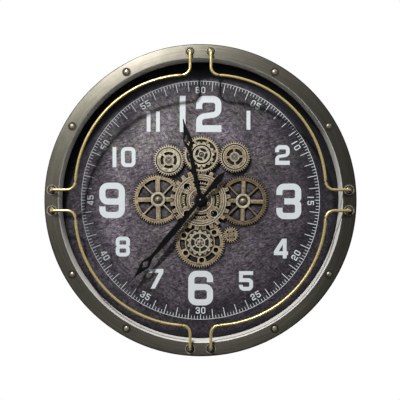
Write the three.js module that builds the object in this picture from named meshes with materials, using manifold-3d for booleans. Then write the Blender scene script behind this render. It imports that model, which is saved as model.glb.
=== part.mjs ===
// Gear wall clock: a deep metal ring, a plate dial with an open train of turning gears in front
// of it, two hands, and four bent guard rods. Millimetres, +Z up, the front faces -Y.
// The origin is the nail that the clock hangs on, where it meets the wall.
import * as THREE from 'three';
import * as BufferGeometryUtils from 'three/addons/utils/BufferGeometryUtils.js';
import Module from 'manifold-3d';

// Ring
const RING_RADIUS = 300;
const RING_DEPTH = 72;
const FACE_WIDTH = 27.5;
const SHEET = 1.5;
const OUTER_ROLL = 3;
const INNER_ROLL = 1.6;
const DIAL_LEVEL = 25.5;
const FLANGE_WIDTH = 13.5;
const RETURN_WIDTH = 10;
const RING_SIDES = 48;

// Rivets in the ring's face
const RIVET_INSET = 16;
const RIVET_RADIUS = 7;
const RIVET_HEIGHT = 3.4;
const RIVET_SHANK = 2.4;
const RIVET_TAIL = 2;
const RIVET_SIDES = 10;
const RIVET_ANGLES = [30, 60, 120, 150, 210, 240, 300, 330];

// Guard rods and the ferrules that hold them
const ROD_RADIUS = 2.7;
const ROD_RISE = 12;
const ROD_INSET = 14.4;
const ROD_OFFSET = 19.8;
const ROD_DIP = 52;
const ROD_ARC_RADIUS = 215.3;
const ROD_SIDES = 8;
const ROD_ARC_STEPS = 8;
const ROD_ARC_MARGIN = 3.4;
const ROD_SMALL_BEND = 6;
const ROD_LARGE_BEND = 11;
const ROD_TAIL = 6;
const FERRULE_RADIUS = 6;
const FERRULE_HEIGHT = 1.8;
const FERRULE_WALL = 1.3;
const FERRULE_TAIL = 2.2;

// Dial and hanger
const DIAL_THICKNESS = 1.5;
const HANGER_WIDTH = 60;
const HANGER_HEIGHT = 40;
const HANGER_INSET = 5;
const HANGER_CORNER = 6;
const NAIL_DROP = 21;
const NAIL_SLOT_RADIUS = 2.4;
const KEYHOLE_RADIUS = 5;
const KEYHOLE_DROP = 11;

// Clearances
const FIT = 0.1;
const RUN = 0.3;

// Gear teeth
const FINE_MODULE = 1.48;
const FINE_ADDENDUM = 0.9;
const FINE_DEDENDUM = 1.25;
const SIDE_TEETH = 65;
const MIDDLE_TEETH = 48;
const SMALL_TEETH = 40;
const DRIVE_TEETH = 20;
const COARSE_MODULE = 4.59;
const CENTRE_COARSE_TEETH = 24;
const TOP_COARSE_TEETH = 15;
const PINION_TEETH = 14;
const PINION_TIP = 25.3;
const PINION_ROOT = 20.6;
const PINION_TIP_SHARE = 0.2;
const FACE_ADDENDUM = 0.85;
const FACE_DEDENDUM = 0.92;
const FACE_ROOT_SHARE = 0.6;
const FACE_TIP_SHARE = 0.42;
const TOP_ADDENDUM = 0.5;
const TOP_DEDENDUM = 0.98;
const TOP_ROOT_SHARE = 0.46;
const TOP_TIP_SHARE = 0.2;

// Where each gear sits, as a direction in degrees from the gear that it meshes with
const LEFT_BEARING = 178.9;
const RIGHT_BEARING = -1.1;
const LOWER_BEARING = -90.8;
const TOP_BEARING = 88.8;
const UPPER_LEFT_BEARING = 190;
const UPPER_RIGHT_BEARING = -4.2;
const DRIVE_BEARING = 14.4;
const CENTRE_PHASE = 7.5;

// Depth of the gear stack, counted forward from the dial's face
const WHEEL_LIFT = 3.5;
const WHEEL_THICKNESS = 2.5;
const LAYER_GAP = 1.5;
const PLATE_GAP = 0.5;
const DISH_THICKNESS = 1.6;
const PINION_THICKNESS = 2;
const HUB_RING_HEIGHT = 1.5;
const HAND_GAP = 2.5;
const OVERLAP = 1;

// Gear bodies
const SIDE_RIM_INNER = 39.8;
const SIDE_HUB_OUTER = 14.2;
const SIDE_HUB_INNER = 10;
const SIDE_HUB_HEIGHT = 1.8;
const THICK_SPOKE = 8.4;
const THIN_SPOKE = 2.6;
const FACE_RIM_OUTER = 50.6;
const FACE_RIM_WIDTH = 1.8;
const FACE_RIM_STEP = 4.2;
const FACE_RIM_HEIGHT = 1;
const FACE_WINDOW_INNER = 27.6;
const FACE_WINDOW_OUTER = 39.6;
const FACE_WINDOW_HALF = 24;
const FACE_HOLE_CIRCLE = 37.3;
const FACE_HOLE_RADIUS = 6.8;
const DISH_RADIUS = 24;
const DISH_FLOOR = 0.8;
const DISH_RIM_OUTER = 23.4;
const DISH_RIM_INNER = 21.4;
const DISH_SCREW_CIRCLE = 17;
const DISH_SCREW_RADIUS = 1.4;
const MIDDLE_RIM_WIDTH = 3.8;
const MIDDLE_SPOKE = 4;
const MIDDLE_WINDOW_INNER = 14;
const BOSS_RADIUS = 12;
const TOP_BOSS_RADIUS = 11;
const TOP_COARSE_RIM = 5;
const SMALL_DISC_RADIUS = 23.4;
const SMALL_DISC_HEIGHT = 2;
const SMALL_SLOT_OUTER = 15.8;
const SMALL_SLOT_INNER = 10;
const SMALL_SLOT_HALF = 33;
const LOWER_HOLE_CIRCLE = 34.5;
const LOWER_HOLE_RADIUS = 5;
const LOWER_HOLE_TURN = 33;
const LOWER_WINDOW_INNER = 29.4;
const LOWER_WINDOW_OUTER = 39.8;
const LOWER_WINDOW_HALF = 16;
const LOWER_PINION_THICKNESS = 1.2;
const PINION_LIP = 1;
const PINION_RING_INNER = 17.8;
const PINION_HUB_OUTER = 10.4;
const PINION_SPOKE = 2.4;
const PINION_HUB_SPOKE = 1.6;
const PINION_BORE_RIM = 4.8;
const PINION_LIP_STEP = 0.6;
const TOP_WINDOW_INNER = 6.8;
const TOP_WINDOW_OUTER = 12.2;
const TOP_WINDOW_SPOKE = 3.6;
const TOP_WINDOW_TURN = 22;
const TOP_LIP_OUTER = 16.4;
const TOP_LIP_INNER = 12.6;
const DRIVE_HOLE_CIRCLE = 9.8;
const DRIVE_HOLE_RADIUS = 2.1;

// Pins, bush and hands
const STUD_RADIUS = 3;
const STUD_FOOT_RADIUS = 7;
const STUD_HEAD_RADIUS = 4.4;
const WIDE_HEAD_RADIUS = 6.6;
const STUD_HEAD_HEIGHT = 1.8;
const STUD_TAIL = 2;
const SCREW_SLOT = 1;
const SLOT_DEPTH = 1;
const BUSH_RADIUS = 5;
const BUSH_FLANGE_RADIUS = 9;
const BUSH_TAIL = 6;
const NUT_RADIUS = 7.6;
const NUT_HEIGHT = 1.8;
const TUBE_RADIUS = 2.9;
const TUBE_INSET = 1;
const TUBE_STAND = 0.6;
const ARBOR_RADIUS = 1.7;
const HAND_THICKNESS = 1;
const HAND_HUB_RADIUS = 10.2;
const HOUR_LENGTH = 164;
const HOUR_ANGLE = -12.1;
const HOUR_DIAMOND = 44;
const HOUR_DIAMOND_REACH = 11;
const HOUR_DIAMOND_HALF = 6.4;
const HOUR_DOT = 59.5;
const HOUR_DOT_RADIUS = 1.4;
const MINUTE_LENGTH = 222;
const MINUTE_ANGLE = 220.7;
const MINUTE_DIAMOND = 57.5;
const MINUTE_DIAMOND_REACH = 9.2;
const MINUTE_DIAMOND_HALF = 5.6;
const CAP_RADIUS = 3.2;
const CAP_HEIGHT = 3;
const CAP_DOME = 1.4;
const ARBOR_END = 1.8;

// Movement and gear drive on the back of the dial
const MOVEMENT_SIZE = 56;
const CASE_DEPTH = 15.4;
const CASE_CORNER = 4;
const BATTERY_RADIUS = 7;
const BATTERY_LENGTH = 49.2;
const BATTERY_TIP_RADIUS = 2.7;
const BATTERY_TIP = 1.2;
const BAY_INSET = 11;
const BAY_WALL = 1.2;
const KNOB_RADIUS = 9;
const KNOB_HEIGHT = 4;
const DRIVE_SIZE = 68;
const DRIVE_CASE_X = 8;
const DRIVE_CASE_Z = 0;
const SWITCH_WIDTH = 6;
const SWITCH_HEIGHT = 4;
const SWITCH_RISE = 2;
const SWITCH_TRAVEL = 4;
const SWITCH_SLOT_DEPTH = 3;

// Half-widths of the hands: [distance back from the point, half-width], and for the tail
// [distance behind the hub, half-width]
const HOUR_WIDTHS = [
  [155.8, 3.2],
  [100, 4.4],
  [76, 3.2],
  [64, 3.4],
  [44, 9.3],
  [25.5, 4.5],
  [12, 1.9],
];
const MINUTE_WIDTHS = [
  [209, 3.4],
  [156, 5.8],
  [120, 6],
  [83, 3.2],
  [75.5, 3.5],
  [57.5, 9.2],
  [34, 2.9],
  [24, 0.9],
];
const MINUTE_TAIL_WIDTHS = [[14, 3.2], [54, 6.4], [60, 5.6]];
const MINUTE_TAIL = 75;

// Metals and plastics
const ANTIQUE = { color: 0x6e6656, metalness: 0.9, roughness: 0.42 };
const DIAL_GREY = { color: 0x554f57, metalness: 0.55, roughness: 0.6 };
const BRASS = { color: 0xc9b077, metalness: 0.9, roughness: 0.35 };
const DARK_BRASS = { color: 0x8f7c54, metalness: 0.9, roughness: 0.42 };
const BLACK = { color: 0x0b0b0c, metalness: 0.2, roughness: 0.3 };
const STEEL = { color: 0xb4b4b0, metalness: 0.9, roughness: 0.35 };
const ZINC = { color: 0x9a9c9c, metalness: 0.8, roughness: 0.45 };
const BLACK_PLASTIC = { color: 0x17181a, metalness: 0, roughness: 0.5 };
const WHITE_PLASTIC = { color: 0xd9d8d2, metalness: 0, roughness: 0.5 };
const CELL = { color: 0x3c5a46, metalness: 0.3, roughness: 0.4 };

const wasm = await Module();
wasm.setup();

const degrees = Math.PI / 180;
const ringInner = RING_RADIUS - FACE_WIDTH;
const dialRadius = ringInner + FLANGE_WIDTH;
const nailHeight = RING_RADIUS - NAIL_DROP;
const faceLevel = RING_DEPTH - DIAL_LEVEL;
const wallLevel = -DIAL_LEVEL;
const rodAlong = Math.sqrt((RING_RADIUS - ROD_INSET) ** 2 - ROD_OFFSET ** 2);
const ferruleBore = ROD_RADIUS + FIT;
const ferruleBarrel = ferruleBore + FERRULE_WALL;

// Levels in front of the dial's face, each gear layer on the one below it
const wheelFront = WHEEL_LIFT + WHEEL_THICKNESS;
const coarseBack = wheelFront + LAYER_GAP;
const coarseFront = coarseBack + WHEEL_THICKNESS;
const dishFront = coarseFront + DISH_THICKNESS;
const upperBack = coarseFront + PLATE_GAP;
const upperFront = upperBack + WHEEL_THICKNESS;
const topPinionFront = upperFront + PINION_THICKNESS;
const hourBack = topPinionFront + HUB_RING_HEIGHT + HAND_GAP;
const hourFront = hourBack + HAND_THICKNESS;
const minuteBack = hourFront + HAND_GAP;
const minuteFront = minuteBack + HAND_THICKNESS;

const batteryBack = -DIAL_THICKNESS - CASE_DEPTH;
const bayDepth = 2 * BATTERY_RADIUS + 2 * FIT;
const batteryAxis = batteryBack + bayDepth / 2;

// Pitch radii
const sidePitch = FINE_MODULE * SIDE_TEETH / 2;
const middlePitch = FINE_MODULE * MIDDLE_TEETH / 2;
const smallPitch = FINE_MODULE * SMALL_TEETH / 2;
const drivePitch = FINE_MODULE * DRIVE_TEETH / 2;
const centrePitch = COARSE_MODULE * CENTRE_COARSE_TEETH / 2;
const topPitch = COARSE_MODULE * TOP_COARSE_TEETH / 2;

// Turns levels in front of the dial into the depth axis
function depth(level) {
  return -(DIAL_LEVEL + level);
}

function polar(radius, angle) {
  return new THREE.Vector2(radius * Math.cos(angle), radius * Math.sin(angle));
}

function circlePoints(x, z, radius, sides, start = 0) {
  const points = [];
  for (let i = 0; i < sides; i += 1) {
    const angle = start + 2 * Math.PI * i / sides;
    points.push(new THREE.Vector2(x + radius * Math.cos(angle), z + radius * Math.sin(angle)));
  }
  return points;
}

function arcPoints(radius, from, to, steps) {
  const points = [];
  for (let i = 0; i <= steps; i += 1) {
    points.push(polar(radius, from + (to - from) * i / steps));
  }
  return points;
}

// A flat plate lying against the dial, cut from an outline with holes, between two levels
function plate(outline, holes, back, front) {
  const shape = new THREE.Shape(outline);
  shape.holes = holes.map((points) => new THREE.Path(points));
  const geometry = new THREE.ExtrudeGeometry(shape, { depth: front - back, bevelEnabled: false });
  geometry.rotateX(Math.PI / 2);
  geometry.translate(0, depth(back), 0);
  return geometry;
}

// A turned piece about the depth axis, from a closed profile of radius and level
function turned(profile, sides) {
  const points = profile.map(([radius, level]) => new THREE.Vector2(radius, depth(level)));
  points.push(points[0].clone());
  return new THREE.LatheGeometry(points.reverse(), sides);
}

function solid(geometry) {
  const bare = geometry.clone();
  bare.deleteAttribute('normal');
  bare.deleteAttribute('uv');
  const merged = BufferGeometryUtils.mergeVertices(bare, 1e-4);
  return new wasm.Manifold(new wasm.Mesh({
    numProp: 3,
    vertProperties: new Float32Array(merged.attributes.position.array),
    triVerts: new Uint32Array(merged.index.array),
  }));
}

function surface(body) {
  const mesh = body.getMesh();
  const geometry = new THREE.BufferGeometry();
  geometry.setAttribute('position', new THREE.BufferAttribute(new Float32Array(mesh.vertProperties), 3));
  geometry.setIndex(new THREE.BufferAttribute(new Uint32Array(mesh.triVerts), 1));
  geometry.computeVertexNormals();
  return geometry;
}

function joined(geometries) {
  return surface(geometries.map(solid).reduce((whole, next) => whole.add(next)));
}

function cut(geometry, cutters) {
  return surface(cutters.map(solid).reduce((whole, next) => whole.subtract(next), solid(geometry)));
}

function rod(radius, back, front, sides) {
  const geometry = new THREE.CylinderGeometry(radius, radius, front - back, sides);
  geometry.translate(0, depth((back + front) / 2), 0);
  return geometry;
}

function block(width, height, back, front, x, z) {
  const geometry = new THREE.BoxGeometry(width, front - back, height);
  geometry.translate(x, depth((back + front) / 2), z);
  return geometry;
}

function piece(name, look, geometry) {
  const mesh = new THREE.Mesh(geometry, new THREE.MeshStandardMaterial(look));
  mesh.name = name;
  return mesh;
}

// Teeth with straight flanks, their widths as shares of the pitch. A root as wide as the pitch
// brings two flanks together in one point, and so does a tip with no width.
function toothOutline(teeth, root, tip, rootShare, tipShare) {
  const points = [];
  const pitch = 2 * Math.PI / teeth;
  for (let i = 0; i < teeth; i += 1) {
    const middle = pitch * i;
    if (rootShare < 1) {
      points.push(polar(root, middle - rootShare * pitch / 2));
    }
    points.push(polar(tip, middle - tipShare * pitch / 2));
    if (tipShare > 0) {
      points.push(polar(tip, middle + tipShare * pitch / 2));
    }
    points.push(polar(root, middle + rootShare * pitch / 2));
  }
  return points;
}

function fineOutline(teeth) {
  const pitch = FINE_MODULE * teeth / 2;
  const root = pitch - FINE_DEDENDUM * FINE_MODULE;
  return toothOutline(teeth, root, pitch + FINE_ADDENDUM * FINE_MODULE, 1, 0);
}

// A window between two radii, with sides that run along the spokes beside it
function windowPoints(inner, outer, from, to, fromHalf, toHalf, steps) {
  const points = arcPoints(
    outer,
    from + Math.asin(fromHalf / outer),
    to - Math.asin(toHalf / outer),
    steps,
  );
  const back = arcPoints(
    inner,
    to - Math.asin(toHalf / inner),
    from + Math.asin(fromHalf / inner),
    Math.max(1, Math.round(steps / 2)),
  );
  return points.concat(back);
}

function slotWindows(count, inner, outer, half, start, steps) {
  const windows = [];
  for (let i = 0; i < count; i += 1) {
    const middle = start + 2 * Math.PI * i / count;
    windows.push(windowPoints(inner, outer, middle - half, middle + half, 0, 0, steps));
  }
  return windows;
}

function roundHoles(count, circle, radius, start, sides) {
  const holes = [];
  for (let i = 0; i < count; i += 1) {
    const at = polar(circle, start + 2 * Math.PI * i / count);
    holes.push(circlePoints(at.x, at.y, radius, sides));
  }
  return holes;
}

function ring(outer, inner, back, front, sides) {
  return plate(circlePoints(0, 0, outer, sides), [circlePoints(0, 0, inner, sides)], back, front);
}

// The ring: one sheet spun round from the return flange at the wall to the flange behind the dial's edge
function bezelRing() {
  const outerCentre = new THREE.Vector2(RING_RADIUS - OUTER_ROLL, faceLevel - OUTER_ROLL);
  const innerCentre = new THREE.Vector2(ringInner + INNER_ROLL, faceLevel - INNER_ROLL);
  const profile = [];
  profile.push([RING_RADIUS - RETURN_WIDTH, wallLevel]);
  profile.push([RING_RADIUS, wallLevel]);
  for (const turn of [0, 45, 90]) {
    profile.push(polar(OUTER_ROLL, turn * degrees).add(outerCentre).toArray());
  }
  for (const turn of [90, 180]) {
    profile.push(polar(INNER_ROLL, turn * degrees).add(innerCentre).toArray());
  }
  profile.push([ringInner, 0]);
  profile.push([dialRadius, 0]);
  profile.push([dialRadius, SHEET]);
  profile.push([ringInner + SHEET, SHEET]);
  profile.push([ringInner + SHEET, faceLevel - SHEET]);
  profile.push([RING_RADIUS - OUTER_ROLL, faceLevel - SHEET]);
  profile.push([RING_RADIUS - SHEET, faceLevel - OUTER_ROLL]);
  profile.push([RING_RADIUS - SHEET, wallLevel + SHEET]);
  profile.push([RING_RADIUS - RETURN_WIDTH, wallLevel + SHEET]);
  const rivetHoles = rivetPlaces().map((at) => faceHole(at, RIVET_SHANK + FIT, RIVET_SIDES));
  const rodHoles = rodEnds().map((at) => faceHole(at, ferruleBarrel + FIT, ROD_SIDES));
  return piece('bezel_ring', ANTIQUE, cut(turned(profile, RING_SIDES), [...rivetHoles, ...rodHoles]));
}

function faceHole(at, radius, sides) {
  const hole = rod(radius, faceLevel - 2 * SHEET, faceLevel + SHEET, sides);
  hole.translate(at.x, 0, at.y);
  return hole;
}

function rivetPlaces() {
  return RIVET_ANGLES.map((angle) => polar(RING_RADIUS - RIVET_INSET, angle * degrees));
}

// The eight places where the guard rods enter the face, two beside each quarter line
function rodEnds() {
  const ends = [];
  for (let quarter = 0; quarter < 4; quarter += 1) {
    for (const side of [-1, 1]) {
      const at = new THREE.Vector2(rodAlong, side * ROD_OFFSET);
      ends.push(at.rotateAround(new THREE.Vector2(), quarter * Math.PI / 2));
    }
  }
  return ends;
}

function ringRivets() {
  const dome = (RIVET_RADIUS ** 2 + RIVET_HEIGHT ** 2) / (2 * RIVET_HEIGHT);
  const tail = faceLevel - SHEET - RIVET_TAIL;
  const profile = [[0, tail], [RIVET_SHANK, tail], [RIVET_SHANK, faceLevel], [RIVET_RADIUS, faceLevel]];
  const half = Math.asin(RIVET_RADIUS / dome) / 2;
  profile.push([dome * Math.sin(half), faceLevel + RIVET_HEIGHT - dome + dome * Math.cos(half)]);
  profile.push([0, faceLevel + RIVET_HEIGHT]);
  return rivetPlaces().map((at, i) => {
    const mesh = piece(`ring_rivet_${i + 1}`, BRASS, turned(profile, RIVET_SIDES));
    mesh.position.set(at.x, 0, at.y);
    return mesh;
  });
}

function wireFerrules() {
  const tail = faceLevel - SHEET - FERRULE_TAIL;
  const profile = [
    [ferruleBore, tail],
    [ferruleBarrel, tail],
    [ferruleBarrel, faceLevel],
    [FERRULE_RADIUS, faceLevel],
    [FERRULE_RADIUS, faceLevel + FERRULE_HEIGHT / 2],
    [ferruleBore, faceLevel + FERRULE_HEIGHT],
  ];
  return rodEnds().map((at, i) => {
    const mesh = piece(`wire_ferrule_${i + 1}`, DARK_BRASS, turned(profile, ROD_SIDES));
    mesh.position.set(at.x, 0, at.y);
    return mesh;
  });
}

// A rod's line as straight runs and round bends, stepped finely only where it bends
class RodLine extends THREE.Curve {
  constructor(points) {
    super();
    this.points = points;
  }

  getPoint(t, target = new THREE.Vector3()) {
    const last = this.points.length - 1;
    const place = Math.min(Math.max(t, 0), 1) * last;
    const i = Math.min(Math.floor(place), last - 1);
    return target.copy(this.points[i]).lerp(this.points[i + 1], place - i);
  }

  getUtoTmapping(u) {
    return u;
  }
}

function bendPoints(before, corner, after, radius, steps) {
  const into = corner.clone().sub(before).normalize();
  const out = after.clone().sub(corner).normalize();
  const turn = into.angleTo(out);
  const reach = radius * Math.tan(turn / 2);
  const inward = out.clone().sub(into).normalize();
  const centre = corner.clone().addScaledVector(inward, radius / Math.cos(turn / 2));
  const start = corner.clone().addScaledVector(into, -reach);
  const axis = into.clone().cross(out).normalize();
  const points = [];
  for (let i = 0; i <= steps; i += 1) {
    const spoke = start.clone().sub(centre).applyAxisAngle(axis, turn * i / steps);
    points.push(spoke.add(centre));
  }
  return points;
}

// A quarter's rod: up out of the face, across, round a wide arc, and back, the same both ways
function guardRodPoints() {
  const plane = -(RING_DEPTH + ROD_RISE);
  const tail = -(RING_DEPTH - SHEET - ROD_TAIL);
  const middle = (RING_RADIUS - ROD_DIP - ROD_ARC_RADIUS) / Math.SQRT2;
  const across = ROD_OFFSET - middle;
  const meet = middle + Math.sqrt(ROD_ARC_RADIUS ** 2 - across ** 2);
  const from = Math.atan2(across, meet - middle) + ROD_ARC_MARGIN * degrees;
  const to = Math.PI / 2 - from;
  const arc = arcPoints(ROD_ARC_RADIUS, from, to, ROD_ARC_STEPS)
    .map((point) => new THREE.Vector3(middle + point.x, plane, middle + point.y));
  const first = new THREE.Vector3(rodAlong, plane, ROD_OFFSET);
  const corner = new THREE.Vector3(meet, plane, ROD_OFFSET);
  const half = [new THREE.Vector3(rodAlong, tail, ROD_OFFSET)];
  half.push(...bendPoints(half[0], first, corner, ROD_SMALL_BEND, 3));
  half.push(...bendPoints(first, corner, arc[0], ROD_LARGE_BEND, 2));
  const mirror = half.map((point) => new THREE.Vector3(point.z, point.y, point.x)).reverse();
  return half.concat(arc, mirror);
}

function guardRods() {
  const section = new THREE.Shape(circlePoints(0, 0, ROD_RADIUS, ROD_SIDES));
  const points = guardRodPoints();
  const names = ['upper_right', 'upper_left', 'lower_left', 'lower_right'];
  return names.map((name, quarter) => {
    const line = new RodLine(points);
    const options = { steps: points.length - 1, extrudePath: line };
    const mesh = piece(`guard_wire_${name}`, BRASS, new THREE.ExtrudeGeometry(section, options));
    mesh.rotation.y = -quarter * Math.PI / 2;
    return mesh;
  });
}

// The dial plate, with a hole for each pin and shaft that passes through it
function dialPlate(centres) {
  const holes = [circlePoints(0, 0, BUSH_RADIUS + FIT, 12)];
  for (const name of ['left', 'right', 'top', 'upperLeft', 'upperRight', 'lower', 'drive']) {
    const at = centres[name];
    const gap = name === 'drive' ? RUN : FIT;
    holes.push(circlePoints(at.x, at.y, STUD_RADIUS + gap, 12));
  }
  const outline = circlePoints(0, 0, dialRadius, RING_SIDES);
  return piece('dial_plate', DIAL_GREY, plate(outline, holes, -DIAL_THICKNESS, 0));
}

// The hanger spot-welded to the ring's return flange, with its keyhole
function hangerPlate() {
  const back = SHEET - DIAL_LEVEL;
  const high = RING_RADIUS - HANGER_INSET;
  const low = high - HANGER_HEIGHT;
  const half = HANGER_WIDTH / 2;
  const outline = [
    new THREE.Vector2(-half, low + HANGER_CORNER),
    new THREE.Vector2(-half + HANGER_CORNER, low),
    new THREE.Vector2(half - HANGER_CORNER, low),
    new THREE.Vector2(half, low + HANGER_CORNER),
    new THREE.Vector2(half, high),
    new THREE.Vector2(-half, high),
  ];
  const slotTop = new THREE.Vector2(0, nailHeight - NAIL_SLOT_RADIUS);
  const mouth = new THREE.Vector2(0, nailHeight + NAIL_SLOT_RADIUS - KEYHOLE_DROP);
  const neck = Math.acos(NAIL_SLOT_RADIUS / KEYHOLE_RADIUS);
  const slot = arcPoints(NAIL_SLOT_RADIUS, 0, Math.PI, 8).map((point) => point.add(slotTop));
  const head = arcPoints(KEYHOLE_RADIUS, Math.PI - neck, 2 * Math.PI + neck, 12)
    .map((point) => point.add(mouth));
  return piece('hanger_plate', ZINC, plate(outline, [[...slot, ...head]], back, back + SHEET));
}

// A 65-tooth wheel with four broad and four fine spokes and a raised collar round its pin
function spokedWheel(name) {
  const windows = [];
  for (let i = 0; i < 8; i += 1) {
    const from = i * Math.PI / 4;
    const halves = i % 2 === 0 ? [THICK_SPOKE / 2, THIN_SPOKE / 2] : [THIN_SPOKE / 2, THICK_SPOKE / 2];
    windows.push(windowPoints(SIDE_HUB_OUTER, SIDE_RIM_INNER, from, from + Math.PI / 4, ...halves, 2));
  }
  const bore = circlePoints(0, 0, STUD_RADIUS + RUN, 10);
  const wheel = plate(fineOutline(SIDE_TEETH), [bore, ...windows], WHEEL_LIFT, wheelFront);
  const top = wheelFront + SIDE_HUB_HEIGHT;
  const collar = ring(SIDE_HUB_OUTER, SIDE_HUB_INNER, WHEEL_LIFT + OVERLAP, top, 18);
  return piece(name, DARK_BRASS, joined([wheel, collar]));
}

// The coarse wheel in front: four windows, four round holes and two raised lips
function centreFaceGear() {
  const tip = centrePitch + FACE_ADDENDUM * COARSE_MODULE;
  const root = centrePitch - FACE_DEDENDUM * COARSE_MODULE;
  const half = FACE_WINDOW_HALF * degrees;
  const holes = slotWindows(4, FACE_WINDOW_INNER, FACE_WINDOW_OUTER, half, 0, 3);
  holes.push(...roundHoles(4, FACE_HOLE_CIRCLE, FACE_HOLE_RADIUS, Math.PI / 4, 12));
  holes.push(circlePoints(0, 0, BUSH_RADIUS + RUN, 12));
  const turn = -CENTRE_PHASE * degrees;
  const teeth = toothOutline(CENTRE_COARSE_TEETH, root, tip, FACE_ROOT_SHARE, FACE_TIP_SHARE)
    .map((point) => point.rotateAround(new THREE.Vector2(), turn));
  const body = plate(teeth, holes, coarseBack, coarseFront);
  const lips = [FACE_RIM_OUTER, FACE_RIM_OUTER - FACE_RIM_STEP].map((outer) => {
    return ring(outer, outer - FACE_RIM_WIDTH, coarseBack + OVERLAP, coarseFront + FACE_RIM_HEIGHT, 24);
  });
  return piece('centre_face_gear', BRASS, joined([body, ...lips]));
}

// The fine wheel behind the face gear, with the boss that spaces the two apart
function centreFineGear() {
  const inner = middlePitch - FINE_DEDENDUM * FINE_MODULE - MIDDLE_RIM_WIDTH;
  const windows = [];
  for (let i = 0; i < 4; i += 1) {
    const from = (i + 0.5) * Math.PI / 2;
    const half = THICK_SPOKE / 2;
    windows.push(windowPoints(MIDDLE_WINDOW_INNER, inner, from, from + Math.PI / 2, half, half, 3));
  }
  const bore = circlePoints(0, 0, BUSH_RADIUS + RUN, 12);
  const wheel = plate(fineOutline(MIDDLE_TEETH), [bore, ...windows], WHEEL_LIFT, wheelFront);
  const boss = ring(BOSS_RADIUS, BUSH_RADIUS + RUN, WHEEL_LIFT, coarseBack, 12);
  return piece('centre_fine_gear', DARK_BRASS, joined([wheel, boss]));
}

function centreHubDish() {
  const holes = roundHoles(8, DISH_SCREW_CIRCLE, DISH_SCREW_RADIUS, Math.PI / 8, 6);
  holes.push(circlePoints(0, 0, BUSH_RADIUS + RUN, 12));
  const disc = plate(circlePoints(0, 0, DISH_RADIUS, 24), holes, coarseFront, coarseFront + DISH_FLOOR);
  const lip = ring(DISH_RIM_OUTER, DISH_RIM_INNER, coarseFront + DISH_FLOOR / 2, dishFront, 24);
  return piece('centre_hub_dish', BRASS, joined([disc, lip]));
}

function topFineGear() {
  const inner = middlePitch - FINE_DEDENDUM * FINE_MODULE - MIDDLE_RIM_WIDTH;
  const windows = [];
  for (let i = 0; i < 7; i += 1) {
    const from = (i + 0.25) * 2 * Math.PI / 7;
    const half = MIDDLE_SPOKE / 2;
    windows.push(windowPoints(PINION_ROOT, inner, from, from + 2 * Math.PI / 7, half, half, 2));
  }
  const bore = circlePoints(0, 0, STUD_RADIUS + RUN, 10);
  const wheel = plate(fineOutline(MIDDLE_TEETH), [bore, ...windows], upperBack, upperFront);
  return piece('top_fine_gear', BRASS, wheel);
}

// The coarse wheel that the centre's face gear turns, with the boss that carries the fine wheel
function topCoarseGear() {
  const tip = topPitch + TOP_ADDENDUM * COARSE_MODULE;
  const root = topPitch - TOP_DEDENDUM * COARSE_MODULE;
  const windows = [];
  for (let i = 0; i < 4; i += 1) {
    const from = i * Math.PI / 2;
    const half = THICK_SPOKE / 2;
    windows.push(windowPoints(BOSS_RADIUS, root - TOP_COARSE_RIM, from, from + Math.PI / 2, half, half, 3));
  }
  const outline = toothOutline(TOP_COARSE_TEETH, root, tip, TOP_ROOT_SHARE, TOP_TIP_SHARE);
  const bore = circlePoints(0, 0, STUD_RADIUS + RUN, 10);
  const body = plate(outline, [bore, ...windows], coarseBack, coarseFront);
  const boss = ring(TOP_BOSS_RADIUS, STUD_RADIUS + RUN, coarseBack, upperBack, 10);
  return piece('top_coarse_gear', DARK_BRASS, joined([body, boss]));
}

function pinionWindows(inner, outer, count, spoke, start) {
  const windows = [];
  for (let i = 0; i < count; i += 1) {
    const from = start + i * 2 * Math.PI / count;
    windows.push(windowPoints(inner, outer, from, from + 2 * Math.PI / count, spoke / 2, spoke / 2, 2));
  }
  return windows;
}

function topPinion() {
  const outline = toothOutline(PINION_TEETH, PINION_ROOT, PINION_TIP, 1, PINION_TIP_SHARE);
  const turn = TOP_WINDOW_TURN * degrees;
  const windows = pinionWindows(TOP_WINDOW_INNER, TOP_WINDOW_OUTER, 4, TOP_WINDOW_SPOKE, turn);
  const bore = circlePoints(0, 0, STUD_RADIUS + RUN, 10);
  const body = plate(outline, [bore, ...windows], upperFront, topPinionFront);
  const lip = ring(TOP_LIP_OUTER, TOP_LIP_INNER, upperFront + OVERLAP, topPinionFront + HUB_RING_HEIGHT, 24);
  return piece('top_pinion', BRASS, joined([body, lip]));
}

// A 40-tooth wheel with a raised disc and four curved slots
function smallWheel(name, slotInner, slotOuter, start) {
  const half = SMALL_SLOT_HALF * degrees;
  const front = upperFront + SMALL_DISC_HEIGHT;
  const bore = circlePoints(0, 0, STUD_RADIUS + RUN, 10);
  const slots = slotWindows(4, slotInner, slotOuter, half, start, 3);
  const wheel = plate(fineOutline(SMALL_TEETH), [bore, ...slots], upperBack, upperFront);
  const disc = circlePoints(0, 0, SMALL_DISC_RADIUS, 26);
  const rise = plate(disc, [bore, ...slots], upperBack + OVERLAP, front);
  return piece(name, BRASS, joined([wheel, rise]));
}

function lowerGear() {
  const third = Math.PI / 3;
  const start = LOWER_HOLE_TURN * degrees;
  const holes = roundHoles(6, LOWER_HOLE_CIRCLE, LOWER_HOLE_RADIUS, start, 10);
  const half = LOWER_WINDOW_HALF * degrees;
  holes.push(...slotWindows(6, LOWER_WINDOW_INNER, LOWER_WINDOW_OUTER, half, start + third / 2, 2));
  holes.push(circlePoints(0, 0, STUD_RADIUS + RUN, 10));
  return piece('lower_gear', DARK_BRASS, plate(fineOutline(SIDE_TEETH), holes, WHEEL_LIFT, wheelFront));
}

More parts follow.
